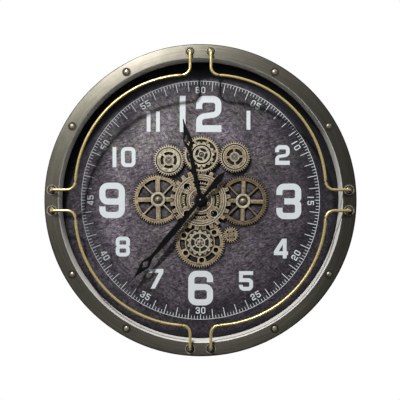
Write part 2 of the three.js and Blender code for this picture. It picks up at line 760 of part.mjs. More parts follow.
function lowerPinion() {
  const outline = toothOutline(PINION_TEETH, PINION_ROOT, PINION_TIP, 1, PINION_TIP_SHARE);
  const windows = pinionWindows(PINION_HUB_OUTER, PINION_RING_INNER, 6, PINION_SPOKE, 0);
  const hubOuter = PINION_HUB_OUTER - PINION_SPOKE;
  const hub = pinionWindows(PINION_BORE_RIM, hubOuter, 6, PINION_HUB_SPOKE, 0);
  const bore = circlePoints(0, 0, STUD_RADIUS + RUN, 10);
  const front = wheelFront + LOWER_PINION_THICKNESS;
  const body = plate(outline, [bore, ...windows, ...hub], wheelFront, front);
  const lipInner = PINION_RING_INNER + PINION_LIP_STEP;
  const lip = ring(PINION_ROOT, lipInner, wheelFront + OVERLAP / 2, front + PINION_LIP, 24);
  return piece('lower_pinion', DARK_BRASS, joined([body, lip]));
}

// The small driven wheel on the motor's shaft
function driveGear() {
  const holes = roundHoles(4, DRIVE_HOLE_CIRCLE, DRIVE_HOLE_RADIUS, Math.PI / 4, 8);
  const wheel = plate(fineOutline(DRIVE_TEETH), holes, WHEEL_LIFT, wheelFront);
  const shaft = rod(STUD_RADIUS, -DIAL_THICKNESS - BUSH_TAIL, WHEEL_LIFT + OVERLAP, 8);
  return piece('drive_gear', DARK_BRASS, joined([wheel, shaft]));
}

function driveScrew() {
  const front = wheelFront + STUD_HEAD_HEIGHT;
  const head = rod(STUD_HEAD_RADIUS, wheelFront, front, 12);
  const slot = block(3 * STUD_HEAD_RADIUS, SCREW_SLOT, front - SLOT_DEPTH, front + SLOT_DEPTH, 0, 0);
  slot.rotateY(-Math.PI / 5);
  return piece('drive_screw', DARK_BRASS, cut(head, [slot]));
}

// A pin riveted through the dial: tail, foot, post and domed head
function stud(name, postFront, back, headRadius) {
  const foot = back - RUN;
  const head = postFront + RUN;
  const profile = [
    [0, -DIAL_THICKNESS - STUD_TAIL],
    [STUD_RADIUS, -DIAL_THICKNESS - STUD_TAIL],
    [STUD_RADIUS, 0],
    [STUD_FOOT_RADIUS, 0],
    [STUD_FOOT_RADIUS, foot],
    [STUD_RADIUS, foot],
    [STUD_RADIUS, head],
    [headRadius, head],
    [headRadius, head + STUD_HEAD_HEIGHT / 2],
    [headRadius / 2, head + STUD_HEAD_HEIGHT],
    [0, head + STUD_HEAD_HEIGHT],
  ];
  return piece(name, STEEL, turned(profile, 12));
}

// The fixed tube through the dial that the centre gear turns on
function centreBush() {
  const profile = [
    [TUBE_RADIUS + RUN, -DIAL_THICKNESS - BUSH_TAIL],
    [BUSH_RADIUS, -DIAL_THICKNESS - BUSH_TAIL],
    [BUSH_RADIUS, 0],
    [BUSH_FLANGE_RADIUS, 0],
    [BUSH_FLANGE_RADIUS, WHEEL_LIFT - RUN],
    [BUSH_RADIUS, WHEEL_LIFT - RUN],
    [BUSH_RADIUS, dishFront + RUN + NUT_HEIGHT],
    [TUBE_RADIUS + RUN, dishFront + RUN + NUT_HEIGHT],
  ];
  return piece('centre_bush', STEEL, turned(profile, 12));
}

function bushNut() {
  const back = dishFront + RUN;
  return piece('bush_nut', STEEL, ring(NUT_RADIUS, BUSH_RADIUS + FIT, back, back + NUT_HEIGHT, 12));
}

function hourTube() {
  const back = -DIAL_THICKNESS - BUSH_TAIL + TUBE_INSET;
  return piece('hour_tube', STEEL, ring(TUBE_RADIUS, ARBOR_RADIUS + RUN, back, hourFront + TUBE_STAND, 12));
}

// The minute arbor runs from the setting knob behind the case to the nut in front of the hand
function minuteArbor() {
  const back = -DIAL_THICKNESS - CASE_DEPTH - RUN - KNOB_HEIGHT / 2;
  return piece('minute_arbor', STEEL, rod(ARBOR_RADIUS, back, minuteFront + ARBOR_END, 12));
}

// The right-hand edge of a hand from the hub to its point, from distances back from the point
function handEdge(length, widths) {
  return widths.map(([back, half]) => new THREE.Vector2(half, length - back));
}

function mirrored(points) {
  return points.map((point) => new THREE.Vector2(-point.x, point.y)).reverse();
}

// A hand pointing up: one edge, the point, the other edge, and round the hub past any tail
function handOutline(length, widths, tailLength, tailWidths) {
  const edge = handEdge(length, widths);
  const tail = tailWidths.map(([at, half]) => new THREE.Vector2(-half, -at));
  const shoulder = Math.asin(edge[0].x / HAND_HUB_RADIUS);
  const neck = tail.length > 0 ? Math.asin(-tail[0].x / HAND_HUB_RADIUS) : 0;
  const leftHub = arcPoints(HAND_HUB_RADIUS, Math.PI / 2 + shoulder, 3 * Math.PI / 2 - neck, 10);
  const rightHub = mirrored(leftHub);
  const end = tail.length > 0 ? [new THREE.Vector2(0, -tailLength)] : [];
  const front = [...edge, new THREE.Vector2(0, length), ...mirrored(edge)];
  const whole = [...front, ...leftHub, ...tail, ...end, ...mirrored(tail), ...rightHub];
  return whole.filter((at, i) => at.distanceTo(whole[(i + 1) % whole.length]) > FIT);
}

function diamondHole(middle, reach, half) {
  return [
    new THREE.Vector2(0, middle - reach),
    new THREE.Vector2(half, middle),
    new THREE.Vector2(0, middle + reach),
    new THREE.Vector2(-half, middle),
  ];
}

function hourHand() {
  const outline = handOutline(HOUR_LENGTH, HOUR_WIDTHS, 0, []);
  const window = diamondHole(HOUR_LENGTH - HOUR_DIAMOND, HOUR_DIAMOND_REACH, HOUR_DIAMOND_HALF);
  const dot = circlePoints(0, HOUR_LENGTH - HOUR_DOT, HOUR_DOT_RADIUS, 10);
  const bore = circlePoints(0, 0, TUBE_RADIUS + FIT, 12);
  const mesh = piece('hour_hand', BLACK, plate(outline, [window, dot, bore], hourBack, hourFront));
  mesh.rotation.y = HOUR_ANGLE * degrees;
  return mesh;
}

function minuteHand() {
  const outline = handOutline(MINUTE_LENGTH, MINUTE_WIDTHS, MINUTE_TAIL, MINUTE_TAIL_WIDTHS);
  const window = diamondHole(MINUTE_LENGTH - MINUTE_DIAMOND, MINUTE_DIAMOND_REACH, MINUTE_DIAMOND_HALF);
  const bore = circlePoints(0, 0, ARBOR_RADIUS + FIT, 12);
  const mesh = piece('minute_hand', BLACK, plate(outline, [window, bore], minuteBack, minuteFront));
  mesh.rotation.y = MINUTE_ANGLE * degrees;
  return mesh;
}

// The domed nut that holds the minute hand on its arbor
function handNut() {
  const bore = ARBOR_RADIUS + FIT;
  const top = minuteFront + CAP_HEIGHT;
  const inside = minuteFront + ARBOR_END + RUN;
  const profile = [
    [0, inside],
    [bore, inside],
    [bore, minuteFront],
    [CAP_RADIUS, minuteFront],
    [CAP_RADIUS, top - CAP_DOME],
    [CAP_RADIUS - CAP_DOME / 2, top - CAP_DOME / 3],
    [0, top],
  ];
  return piece('hand_nut', STEEL, turned(profile, 12));
}

function roundedBox(width, height, corner) {
  const points = [];
  const corners = [[1, 1, 0], [-1, 1, 90], [-1, -1, 180], [1, -1, 270]];
  for (const [sx, sz, turn] of corners) {
    const x = sx * (width / 2 - corner);
    const z = sz * (height / 2 - corner);
    for (let i = 0; i <= 3; i += 1) {
      const at = polar(corner, (turn + i * 30) * degrees);
      points.push(new THREE.Vector2(x + at.x, z + at.y));
    }
  }
  return points;
}

function bay(z) {
  const length = BATTERY_LENGTH + BATTERY_TIP + 2 * BAY_WALL;
  return block(length, bayDepth, batteryBack - OVERLAP, batteryBack + bayDepth, 0, z);
}

// A round cell lying across its bay, with the small contact on one end
function battery(name, x, z) {
  const half = BATTERY_LENGTH / 2;
  const profile = [[0, -half], [BATTERY_RADIUS, -half], [BATTERY_RADIUS, half], [BATTERY_TIP_RADIUS, half]];
  profile.push([BATTERY_TIP_RADIUS, half + BATTERY_TIP], [0, half + BATTERY_TIP]);
  const points = profile.map(([radius, along]) => new THREE.Vector2(radius, along));
  const geometry = new THREE.LatheGeometry(points, 12);
  geometry.rotateZ(-Math.PI / 2);
  geometry.translate(x - BATTERY_TIP / 2, depth(batteryAxis), z);
  return piece(name, CELL, geometry);
}

function movementCase() {
  const outline = roundedBox(MOVEMENT_SIZE, MOVEMENT_SIZE, CASE_CORNER);
  const body = plate(outline, [], batteryBack, -DIAL_THICKNESS);
  const bore = rod(BUSH_RADIUS + FIT, -DIAL_THICKNESS - BUSH_TAIL - FIT, OVERLAP, 12);
  const shaft = rod(ARBOR_RADIUS + RUN, batteryBack - OVERLAP, OVERLAP, 12);
  return piece('movement_case', BLACK_PLASTIC, cut(body, [bay(BAY_INSET - MOVEMENT_SIZE / 2), bore, shaft]));
}

function setKnob() {
  const front = batteryBack - RUN;
  const knob = ring(KNOB_RADIUS, ARBOR_RADIUS + FIT, front - KNOB_HEIGHT, front, 12);
  return piece('set_knob', BLACK_PLASTIC, knob);
}

function driveCase(at) {
  const outline = roundedBox(DRIVE_SIZE, DRIVE_SIZE, CASE_CORNER);
  const body = plate(outline, [], batteryBack, -DIAL_THICKNESS);
  body.translate(DRIVE_CASE_X, 0, DRIVE_CASE_Z);
  const cell = bay(DRIVE_CASE_Z + BAY_INSET - DRIVE_SIZE / 2);
  cell.translate(DRIVE_CASE_X, 0, 0);
  const shaft = rod(STUD_RADIUS + RUN, -DIAL_THICKNESS - BUSH_TAIL - RUN, OVERLAP, 8);
  const length = SWITCH_WIDTH + SWITCH_TRAVEL + 2 * RUN;
  const x = DRIVE_CASE_X + SWITCH_TRAVEL / 2;
  const high = SWITCH_HEIGHT + 2 * RUN;
  const slotFront = batteryBack + SWITCH_SLOT_DEPTH;
  const slot = block(length, high, batteryBack - OVERLAP, slotFront, x, switchHeight());
  const mesh = piece('drive_case', BLACK_PLASTIC, cut(body, [cell, shaft, slot]));
  mesh.position.set(at.x, 0, at.y);
  return mesh;
}

function switchHeight() {
  return DRIVE_CASE_Z + DRIVE_SIZE / 2 - 2 * SWITCH_HEIGHT;
}

// The sliding switch, at rest at the end of its slot
function driveSwitch(at) {
  const front = batteryBack + SWITCH_SLOT_DEPTH - RUN;
  const back = batteryBack - SWITCH_RISE;
  const body = block(SWITCH_WIDTH, SWITCH_HEIGHT, back, front, DRIVE_CASE_X, switchHeight());
  const mesh = piece('drive_switch', WHITE_PLASTIC, body);
  mesh.position.set(at.x, 0, at.y);
  return mesh;
}

// The direction of each gear's first tooth, so that its teeth stand in its neighbour's gaps
function meshPhase(teeth, otherTeeth, otherPhase, bearing) {
  const pitch = 2 * Math.PI / teeth;
  const phase = bearing + Math.PI + (otherTeeth * (bearing - otherPhase) - Math.PI) / teeth;
  return phase - pitch * Math.round(phase / pitch);
}

function turnedGroup(at, phase, meshes) {
  const group = new THREE.Group();
  group.position.set(at.x, 0, at.y);
  group.rotation.y = -phase;
  group.add(...meshes);
  return group;
}

function gearCentres() {
  const centre = new THREE.Vector2(0, 0);
  const side = sidePitch + middlePitch;
  const left = polar(side, LEFT_BEARING * degrees);
  const right = polar(side, RIGHT_BEARING * degrees);
  const lower = polar(side, LOWER_BEARING * degrees);
  const top = polar(centrePitch + topPitch, TOP_BEARING * degrees);
  const upperLeft = polar(middlePitch + smallPitch, UPPER_LEFT_BEARING * degrees).add(top);
  const upperRight = polar(middlePitch + smallPitch, UPPER_RIGHT_BEARING * degrees).add(top);
  const drive = polar(sidePitch + drivePitch, DRIVE_BEARING * degrees).add(lower);
  return { centre, left, right, lower, top, upperLeft, upperRight, drive };
}

// Every gear group at its centre, turned so that its teeth mesh with the gear before it
function gearTrain(at) {
  const coarse = -CENTRE_PHASE * degrees;
  const onMiddle = (teeth, bearing) => meshPhase(teeth, MIDDLE_TEETH, 0, bearing * degrees);
  const lowerPhase = onMiddle(SIDE_TEETH, LOWER_BEARING);
  const topPhase = meshPhase(TOP_COARSE_TEETH, CENTRE_COARSE_TEETH, coarse, TOP_BEARING * degrees);
  const drivePhase = meshPhase(DRIVE_TEETH, SIDE_TEETH, lowerPhase, DRIVE_BEARING * degrees);
  const upperLeft = smallWheel('upper_left_gear', SMALL_SLOT_INNER + 1, SMALL_SLOT_OUTER, 0);
  const upperRight = smallWheel('upper_right_gear', SMALL_SLOT_INNER, SMALL_SLOT_OUTER, Math.PI / 4);
  return [
    turnedGroup(at.centre, 0, [centreFaceGear(), centreFineGear(), centreHubDish()]),
    turnedGroup(at.left, onMiddle(SIDE_TEETH, LEFT_BEARING), [spokedWheel('left_gear')]),
    turnedGroup(at.right, onMiddle(SIDE_TEETH, RIGHT_BEARING), [spokedWheel('right_gear')]),
    turnedGroup(at.lower, lowerPhase, [lowerGear()]),
    turnedGroup(at.lower, Math.PI / 2, [lowerPinion()]),
    turnedGroup(at.top, topPhase, [topCoarseGear()]),
    turnedGroup(at.top, 0, [topFineGear(), topPinion()]),
    turnedGroup(at.upperLeft, onMiddle(SMALL_TEETH, UPPER_LEFT_BEARING), [upperLeft]),
    turnedGroup(at.upperRight, onMiddle(SMALL_TEETH, UPPER_RIGHT_BEARING), [upperRight]),
    turnedGroup(at.drive, drivePhase, [driveGear(), driveScrew()]),
  ];
}

function studs(at) {
  const lowerFront = wheelFront + LOWER_PINION_THICKNESS;
  const upperDisc = upperFront + SMALL_DISC_HEIGHT;
  const placed = (place, mesh) => {
    mesh.position.set(place.x, 0, place.y);
    return mesh;
  };
  return [
    placed(at.left, stud('left_stud', wheelFront, WHEEL_LIFT, STUD_HEAD_RADIUS)),
    placed(at.right, stud('right_stud', wheelFront, WHEEL_LIFT, STUD_HEAD_RADIUS)),
    placed(at.lower, stud('lower_stud', lowerFront, WHEEL_LIFT, STUD_HEAD_RADIUS)),
    placed(at.top, stud('top_stud', topPinionFront, coarseBack, STUD_HEAD_RADIUS)),
    placed(at.upperLeft, stud('upper_left_stud', upperDisc, upperBack, WIDE_HEAD_RADIUS)),
    placed(at.upperRight, stud('upper_right_stud', upperDisc, upperBack, WIDE_HEAD_RADIUS)),
  ];
}

function wallClock() {
  const centres = gearCentres();
  const clock = new THREE.Group();
  clock.position.z = -nailHeight;
  clock.add(bezelRing(), dialPlate(centres), hangerPlate());
  clock.add(...ringRivets(), ...wireFerrules(), ...guardRods());
  clock.add(...gearTrain(centres), ...studs(centres));
  clock.add(centreBush(), bushNut(), hourTube(), minuteArbor());
  clock.add(hourHand(), minuteHand(), handNut(), setKnob());
  clock.add(movementCase(), battery('movement_battery', 0, BAY_INSET - MOVEMENT_SIZE / 2));
  const drive = centres.drive;
  const cellHeight = drive.y + DRIVE_CASE_Z + BAY_INSET - DRIVE_SIZE / 2;
  clock.add(driveCase(drive), battery('drive_battery', drive.x + DRIVE_CASE_X, cellHeight));
  clock.add(driveSwitch(drive));
  return clock;
}

const group = new THREE.Group();
group.add(wallClock());

export default group;
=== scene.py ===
"""Gear wall clock: its finished pieces, metals, paints, studio and camera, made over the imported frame.

Metres, +Z up. The front faces -Y and the origin is the nail on the wall. Levels are millimetres in
front of the dial's face, and angles run counter-clockwise from +X as seen from the front.
"""
import math

import bpy
from bpy.props import FloatProperty, FloatVectorProperty, PointerProperty
from mathutils import Matrix, Vector


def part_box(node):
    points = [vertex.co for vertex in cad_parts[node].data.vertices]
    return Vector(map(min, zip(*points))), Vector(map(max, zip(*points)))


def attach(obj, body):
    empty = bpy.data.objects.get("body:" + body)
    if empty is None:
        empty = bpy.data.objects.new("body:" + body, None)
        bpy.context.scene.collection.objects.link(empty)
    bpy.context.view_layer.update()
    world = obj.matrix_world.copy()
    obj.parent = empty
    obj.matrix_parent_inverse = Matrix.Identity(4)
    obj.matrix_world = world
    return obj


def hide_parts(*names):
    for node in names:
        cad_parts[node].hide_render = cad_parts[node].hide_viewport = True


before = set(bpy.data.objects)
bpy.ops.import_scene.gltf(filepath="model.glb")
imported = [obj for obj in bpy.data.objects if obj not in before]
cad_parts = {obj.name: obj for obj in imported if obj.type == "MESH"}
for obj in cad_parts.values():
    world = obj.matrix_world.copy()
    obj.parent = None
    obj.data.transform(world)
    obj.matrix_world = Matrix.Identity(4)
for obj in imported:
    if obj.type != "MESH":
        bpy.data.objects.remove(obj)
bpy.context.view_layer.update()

bl_info = {
    "name": "Gear Wall Clock",
    "version": (1, 0, 0),
    "blender": (4, 5, 0),
    "location": "View3D > Sidebar > Clock",
    "description": "Makes the finished pieces of a gear wall clock over its packed frame",
    "category": "Object",
}

MM = 0.001
QUARTER = math.pi / 2


# Places and levels that the frame gives

def middle(node):
    """The middle of a node's box across the dial, as x and z in metres."""
    low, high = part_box(node)
    return ((low[0] + high[0]) / 2, (low[2] + high[2]) / 2)


CENTRE = middle("bezel_ring")
RING_RADIUS = (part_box("bezel_ring")[1][0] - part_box("bezel_ring")[0][0]) / 2 / MM
DIAL_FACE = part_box("dial_plate")[0][1]
WALL_LEVEL = DIAL_FACE / MM
CENTRE_AXIS = middle("centre_bush")
AXES = {name: middle(f"{name}_stud") for name in ("left", "right", "lower", "top", "upper_left", "upper_right")}
AXES.update(centre=CENTRE_AXIS, drive=middle("drive_screw"))

# The ring's face, and the sheet that it is pressed from
FACE_LEVEL = 46.5
RING_WIDTH = 27.5
SHEET = 1.5

# Backs and fronts of the three layers of wheels, and the radii of their bores
LOW_BACK, LOW_FRONT = 3.5, 6.0
COARSE_BACK, COARSE_FRONT = 7.5, 10.0
TOP_BACK, TOP_FRONT = 10.5, 13.0
PIN_BORE = 3.3
BUSH_BORE = 5.3

# Gear teeth
FINE_MODULE = 1.48
COARSE_MODULE = 4.59
SIDE_TEETH = 65
MIDDLE_TEETH = 48
SMALL_TEETH = 40
DRIVE_TEETH = 20
PINION_TEETH = 14
FACE_TEETH = 24
TOP_TEETH = 15
FACE_TURN = -math.pi / FACE_TEETH
MIDDLE_RIM = FINE_MODULE * MIDDLE_TEETH / 2 - 1.25 * FINE_MODULE - 3.8
STAR_ROOT = 20.6
STAR_TIP = 25.3

# The minute scale: its line, and how far in its ticks reach and half their width
DIVISIONS = 240
SCALE_LINE = 0.9
HOUR_TICK = (225.5, 0.62)
MINUTE_TICK = (216.0, 0.62)
PART_TICK = (228.2, 0.5)


# Sizes and colours that a user may change

class ClockRing(bpy.types.PropertyGroup):
    """The ring and what is fastened to its face"""

    outer_roll: FloatProperty(
        name="Outer roll", description="Radius of the rounded outer edge in millimetres", default=3.0, min=0.5
    )
    inner_roll: FloatProperty(
        name="Inner roll", description="Radius of the inner edge in millimetres", default=1.6, min=0.3
    )
    rod_radius: FloatProperty(
        name="Rod radius", description="Radius of the guard rods in millimetres", default=2.7, min=0.5
    )
    metal: FloatVectorProperty(
        name="Antique metal", description="Colour of the brushed ring", subtype="COLOR",
        default=(0.190, 0.176, 0.150), min=0.0, max=1.0
    )
    rod_brass: FloatVectorProperty(
        name="Rod brass", description="Colour of the guard rods", subtype="COLOR",
        default=(0.77, 0.62, 0.26), min=0.0, max=1.0
    )


class ClockDial(bpy.types.PropertyGroup):
    """The dial plate and what is printed on it"""

    scale_radius: FloatProperty(
        name="Scale radius", description="Radius of the outer white line in millimetres", default=235.5
    )
    print_height: FloatProperty(
        name="Print height", description="How far the print stands off the plate in millimetres", default=0.08
    )
    plate_metal: FloatVectorProperty(
        name="Plate metal", description="Colour of the worn dial plate", subtype="COLOR",
        default=(0.112, 0.095, 0.120), min=0.0, max=1.0
    )
    print_white: FloatVectorProperty(
        name="Print white", description="Colour of the numerals and the scale", subtype="COLOR",
        default=(0.71, 0.77, 0.81), min=0.0, max=1.0
    )


class ClockGears(bpy.types.PropertyGroup):
    """The gear train"""

    edge: FloatProperty(
        name="Edge", description="Width of the broken edges in millimetres", default=0.22, min=0.02
    )
    light_brass: FloatVectorProperty(
        name="Light brass", description="Colour of the bright wheels", subtype="COLOR",
        default=(0.72, 0.635, 0.46), min=0.0, max=1.0
    )
    dark_brass: FloatVectorProperty(
        name="Dark brass", description="Colour of the tarnished wheels", subtype="COLOR",
        default=(0.305, 0.24, 0.145), min=0.0, max=1.0
    )


class ClockHands(bpy.types.PropertyGroup):
    """The two hands"""

    hour_angle: FloatProperty(
        name="Hour angle", description="Clockwise angle of the hour hand", subtype="ANGLE",
        default=math.radians(-12.1)
    )
    minute_angle: FloatProperty(
        name="Minute angle", description="Clockwise angle of the minute hand", subtype="ANGLE",
        default=math.radians(220.7)
    )
    lacquer: FloatVectorProperty(
        name="Lacquer", description="Colour of the hands", subtype="COLOR",
        default=(0.003, 0.003, 0.0035), min=0.0, max=1.0
    )


class ClockStudio(bpy.types.PropertyGroup):
    """The light and the camera"""

    key_power: FloatProperty(
        name="Key power", description="Power of the key light", unit="POWER", default=50.0, min=0.0
    )
    key_size: FloatProperty(
        name="Key size", description="Width of the key light", unit="LENGTH", default=0.15, min=0.01
    )
    room_level: FloatProperty(
        name="Room level", description="Strength of the even light from all round", default=0.13, min=0.0
    )
    soft_power: FloatProperty(
        name="Soft power", description="Power of the broad light that only the metals show", unit="POWER",
        default=25.0, min=0.0
    )
    back_power: FloatProperty(
        name="Back power", description="Power of the light behind the clock", unit="POWER", default=30.0, min=0.0
    )
    lens: FloatProperty(
        name="Lens", description="Focal length in millimetres", default=75.08, min=1.0
    )


# Modelling

def deselect():
    """Nothing is selected or active afterwards."""
    if bpy.context.mode != "OBJECT":
        bpy.ops.object.mode_set(mode="OBJECT")
    bpy.ops.object.select_all(action="DESELECT")
    bpy.context.view_layer.objects.active = None


def pick(piece):
    """Only this piece is selected and active afterwards."""
    deselect()
    piece.select_set(True)
    bpy.context.view_layer.objects.active = piece


def settle(piece):
    """Puts a piece's place, turn and size into its mesh."""
    pick(piece)
    bpy.ops.object.transform_apply(location=True, rotation=True, scale=True)


def clean(piece):
    """Merges doubles and turns the faces out."""
    pick(piece)
    bpy.ops.object.mode_set(mode="EDIT")
    bpy.ops.mesh.select_all(action="SELECT")
    bpy.ops.mesh.remove_doubles(threshold=2e-6)
    bpy.ops.mesh.normals_make_consistent(inside=False)
    bpy.ops.object.mode_set(mode="OBJECT")


def smooth(piece, angle=30.0):
    pick(piece)
    bpy.ops.object.shade_smooth_by_angle(angle=math.radians(angle))


def copied(piece, name, move):
    """A copy of a finished piece with its own mesh, moved by a matrix."""
    pick(piece)
    bpy.ops.object.duplicate(linked=False)
    made = bpy.context.view_layer.objects.active
    made.name = name
    made.data.transform(move)
    return made


def joined(pieces):
    """Several pieces made one, which is the first of them."""
    deselect()
    for piece in pieces:
        piece.select_set(True)
    bpy.context.view_layer.objects.active = pieces[0]
    bpy.ops.object.join()
    return bpy.context.view_layer.objects.active


def fit(piece, name, body, material, nodes=()):
    """Names a piece, gives it its material and hangs it on its body in place of the nodes."""
    piece.name = name
    piece.data.name = name
    piece.data.materials.clear()
    piece.data.materials.append(bpy.data.materials[material])
    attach(piece, body)
    if nodes:
        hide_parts(*nodes)


def dress(node, material):
    """Gives a node of the frame its finish."""
    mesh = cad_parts[node].data
    mesh.materials.clear()
    mesh.materials.append(bpy.data.materials[material])


def at(centre, level):
    """The point on an axis at a level in front of the dial."""
    return Vector((centre[0], DIAL_FACE - level * MM, centre[1]))


def spun(profile, centre, steps, angle=30.0):
    """Spins a profile of radius and level about the depth axis through centre, smooth below an angle."""
    deselect()
    points = [at(centre, level) + Vector((radius * MM, 0.0, 0.0)) for radius, level in profile]
    bpy.ops.mesh.primitive_plane_add(size=0.01, location=points[0])
    piece = bpy.context.object
    bpy.ops.object.mode_set(mode="EDIT")
    bpy.ops.mesh.select_all(action="SELECT")
    bpy.ops.mesh.merge(type="CENTER")
    for here, there in zip(points, points[1:]):
        bpy.ops.mesh.extrude_region_move(TRANSFORM_OT_translate={"value": there - here})
    bpy.ops.mesh.select_all(action="SELECT")
    bpy.ops.mesh.spin(steps=steps, angle=2 * math.pi, center=at(centre, 0), axis=(0, 1, 0))
    bpy.ops.object.mode_set(mode="OBJECT")
    settle(piece)
    clean(piece)
    smooth(piece, angle)
    return piece


def trace(curve, points, closed=False):
    """Adds a run of straight lines to a curve."""
    spline = curve.splines.new("POLY")
    spline.points.add(len(points) - 1)
    for place, point in zip(spline.points, points):
        place.co = (*point, 1.0)
    spline.use_cyclic_u = closed


def plate(loops, back, front, centre, turn=0.0, edge=0.0):
    """Cuts a flat plate from an outline with holes, lying between two levels, its edges broken."""
    deselect()
    bpy.ops.curve.primitive_bezier_circle_add(radius=1.0, location=(0, 0, 0))
    curve = bpy.context.object.data
    curve.splines.clear()
    curve.dimensions = "2D"
    curve.fill_mode = "BOTH"
    curve.extrude = (front - back) / 2 - edge
    curve.bevel_depth = edge
    curve.bevel_resolution = 0
    curve.offset = -edge
    for loop in loops:
        trace(curve, [(x, z, 0.0) for x, z in loop], closed=True)
    bpy.ops.object.convert(target="MESH")
    piece = bpy.context.object
    piece.rotation_euler = (QUARTER, -turn, 0.0)
    piece.scale = (MM, MM, MM)
    piece.location = at(centre, (back + front) / 2)
    settle(piece)
    clean(piece)
    smooth(piece)
    return piece


# Outlines, in millimetres

def polar(radius, angle):
    return (radius * math.cos(angle), radius * math.sin(angle))


def circle(radius, sides=64, centre=(0.0, 0.0), start=0.0):
    loop = []
    for i in range(sides):
        x, z = polar(radius, start + 2 * math.pi * i / sides)
        loop.append((centre[0] + x, centre[1] + z))
    return loop


def band(outer, inner, sides, inner_sides=None):
    """A circle and the hole in it."""
    return [circle(outer, sides), circle(inner, inner_sides or sides)]


def arc(radius, start, end, steps):
    return [polar(radius, start + (end - start) * i / steps) for i in range(steps + 1)]


def raised(profile, level):
    """A profile of radius and rise, moved to a level."""
    return [(radius, level + rise) for radius, rise in profile]


def toothed(teeth, root, tip, root_share, tip_share, turn=0.0):
    """The outline of a gear. The shares are the width of a tooth at its root and at its tip."""
    pitch = 2 * math.pi / teeth
    loop = []
    for i in range(teeth):
        centre = pitch * i + turn
        if root_share < 1:
            loop.append(polar(root, centre - root_share * pitch / 2))
        loop.append(polar(tip, centre - tip_share * pitch / 2))
        loop.append(polar(tip, centre + tip_share * pitch / 2))
        loop.append(polar(root, centre + root_share * pitch / 2))
    return loop


def fine_teeth(teeth):
    """The small pointed teeth, blunted a little at the tips and the roots."""
    pitch = FINE_MODULE * teeth / 2
    return toothed(teeth, pitch - 1.85 * FINE_MODULE, pitch + 0.9 * FINE_MODULE, 0.52, 0.12)


def star_teeth():
    """The pointed teeth of the two star pinions, which meet at their roots."""
    return toothed(PINION_TEETH, STAR_ROOT, STAR_TIP, 1.0, 0.2)


def window(inner, outer, start, end, start_half, end_half):
    """A window between two radii whose sides run along the spokes beside it."""
    steps = 12
    loop = arc(outer, start + math.asin(start_half / outer), end - math.asin(end_half / outer), steps)
    loop += arc(inner, end - math.asin(end_half / inner), start + math.asin(start_half / inner), steps)
    return loop


def spoked(count, inner, outer, spoke, start=0.0):
    """The windows between equal spokes."""
    step = 2 * math.pi / count
    ends = [(start + i * step, start + (i + 1) * step) for i in range(count)]
    return [window(inner, outer, first, last, spoke / 2, spoke / 2) for first, last in ends]


def slots(count, inner, outer, half, start=0.0):
    """Curved slots spaced evenly round a wheel."""
    middles = [start + i * 2 * math.pi / count for i in range(count)]
    return [window(inner, outer, turn - half, turn + half, 0.0, 0.0) for turn in middles]


def holes(radius, count, pitch_radius, start, sides):
    """Round holes spaced evenly round a wheel."""
    step = 2 * math.pi / count
    return [circle(radius, sides, polar(pitch_radius, start + i * step)) for i in range(count)]


def lips(outer, inner, *around):
    """Narrow rings round such holes, each as its outline and its hole."""
    return list(zip(holes(outer, *around), holes(inner, *around)))


def rounded(corners):
    """A closed outline whose corners, given as x, z and radius, are rounded."""
    steps = 7
    loop = []
    for i, (x, z, radius) in enumerate(corners):
        here = Vector((x, z))
        before = (Vector(corners[i - 1][:2]) - here).normalized()
        after = (Vector(corners[(i + 1) % len(corners)][:2]) - here).normalized()
        if radius <= 0:
            loop.append((x, z))
            continue
        half = before.angle(after) / 2
        reach = radius / math.tan(half)
        middle_point = here + (before + after).normalized() * (radius / math.sin(half))
        first = here + before * reach - middle_point
        last = here + after * reach - middle_point
        sweep = math.atan2(first.x * last.y - first.y * last.x, first.dot(last))
        for k in range(steps + 1):
            spoke = Matrix.Rotation(sweep * k / steps, 2) @ first
            loop.append(tuple(middle_point + spoke))
    return loop


def shifted(loops, x, z, turn=0.0):
    """Loops turned about the origin and then moved."""
    c, s = math.cos(turn), math.sin(turn)
    return [[(x + c * px - s * pz, z + s * px + c * pz) for px, pz in loop] for loop in loops]


# Numerals, as outlines in a box from (0, 0) to (w, h) with a stroke t

def radii(share, w, t):
    """The outer and the inner radius of a numeral's bends."""
    outer = share * w
    return outer, max(outer - t, 0.2 * t)


def panel(left, low, right, high, radius):
    """A box with rounded corners."""
    return rounded([(left, low, radius), (right, low, radius), (right, high, radius), (left, high, radius)])


def one(w, h, t):
    return [[(w - t, 0.0), (w, 0.0), (w, h), (w - t, h)]]


def zero(w, h, t):
    r, i = radii(0.36, w, t)
    return [panel(0, 0, w, h, r), panel(t, t, w - t, h - t, i)]


def two(w, h, t):
    r, i = radii(0.34, w, t)
    bar = 1.1 * t
    return [rounded([
        (0, 0, 0), (w, 0, 0), (w, bar, 0), (t, bar, 0.5 * i),
        (t, 0.35 * h, i), (w, 0.43 * h, r), (w, h, r), (0, h, r),
        (0, 0.64 * h, 0), (t, 0.64 * h, 0), (t, h - bar, i), (w - t, h - bar, i),
        (w - t, 0.56 * h, i), (0, 0.48 * h, r),
    ])]


def three(w, h, t):
    r, i = radii(0.32, w, t)
    notch = 0.3 * t
    low = h / 2 - t / 2
    high = h / 2 + t / 2
    return [rounded([
        (0, 0, r), (w, 0, r), (w, h / 2 - notch, 0.5 * r), (w - notch, h / 2, 0),
        (w, h / 2 + notch, 0.5 * r), (w, h, r), (0, h, r), (0, 0.68 * h, 0), (t, 0.68 * h, 0),
        (t, h - t, i), (w - t, h - t, i), (w - t, high, i), (0.32 * w, high, 0),
        (0.32 * w, low, 0), (w - t, low, i), (w - t, t, i), (t, t, i), (t, 0.32 * h, 0), (0, 0.32 * h, 0),
    ])]


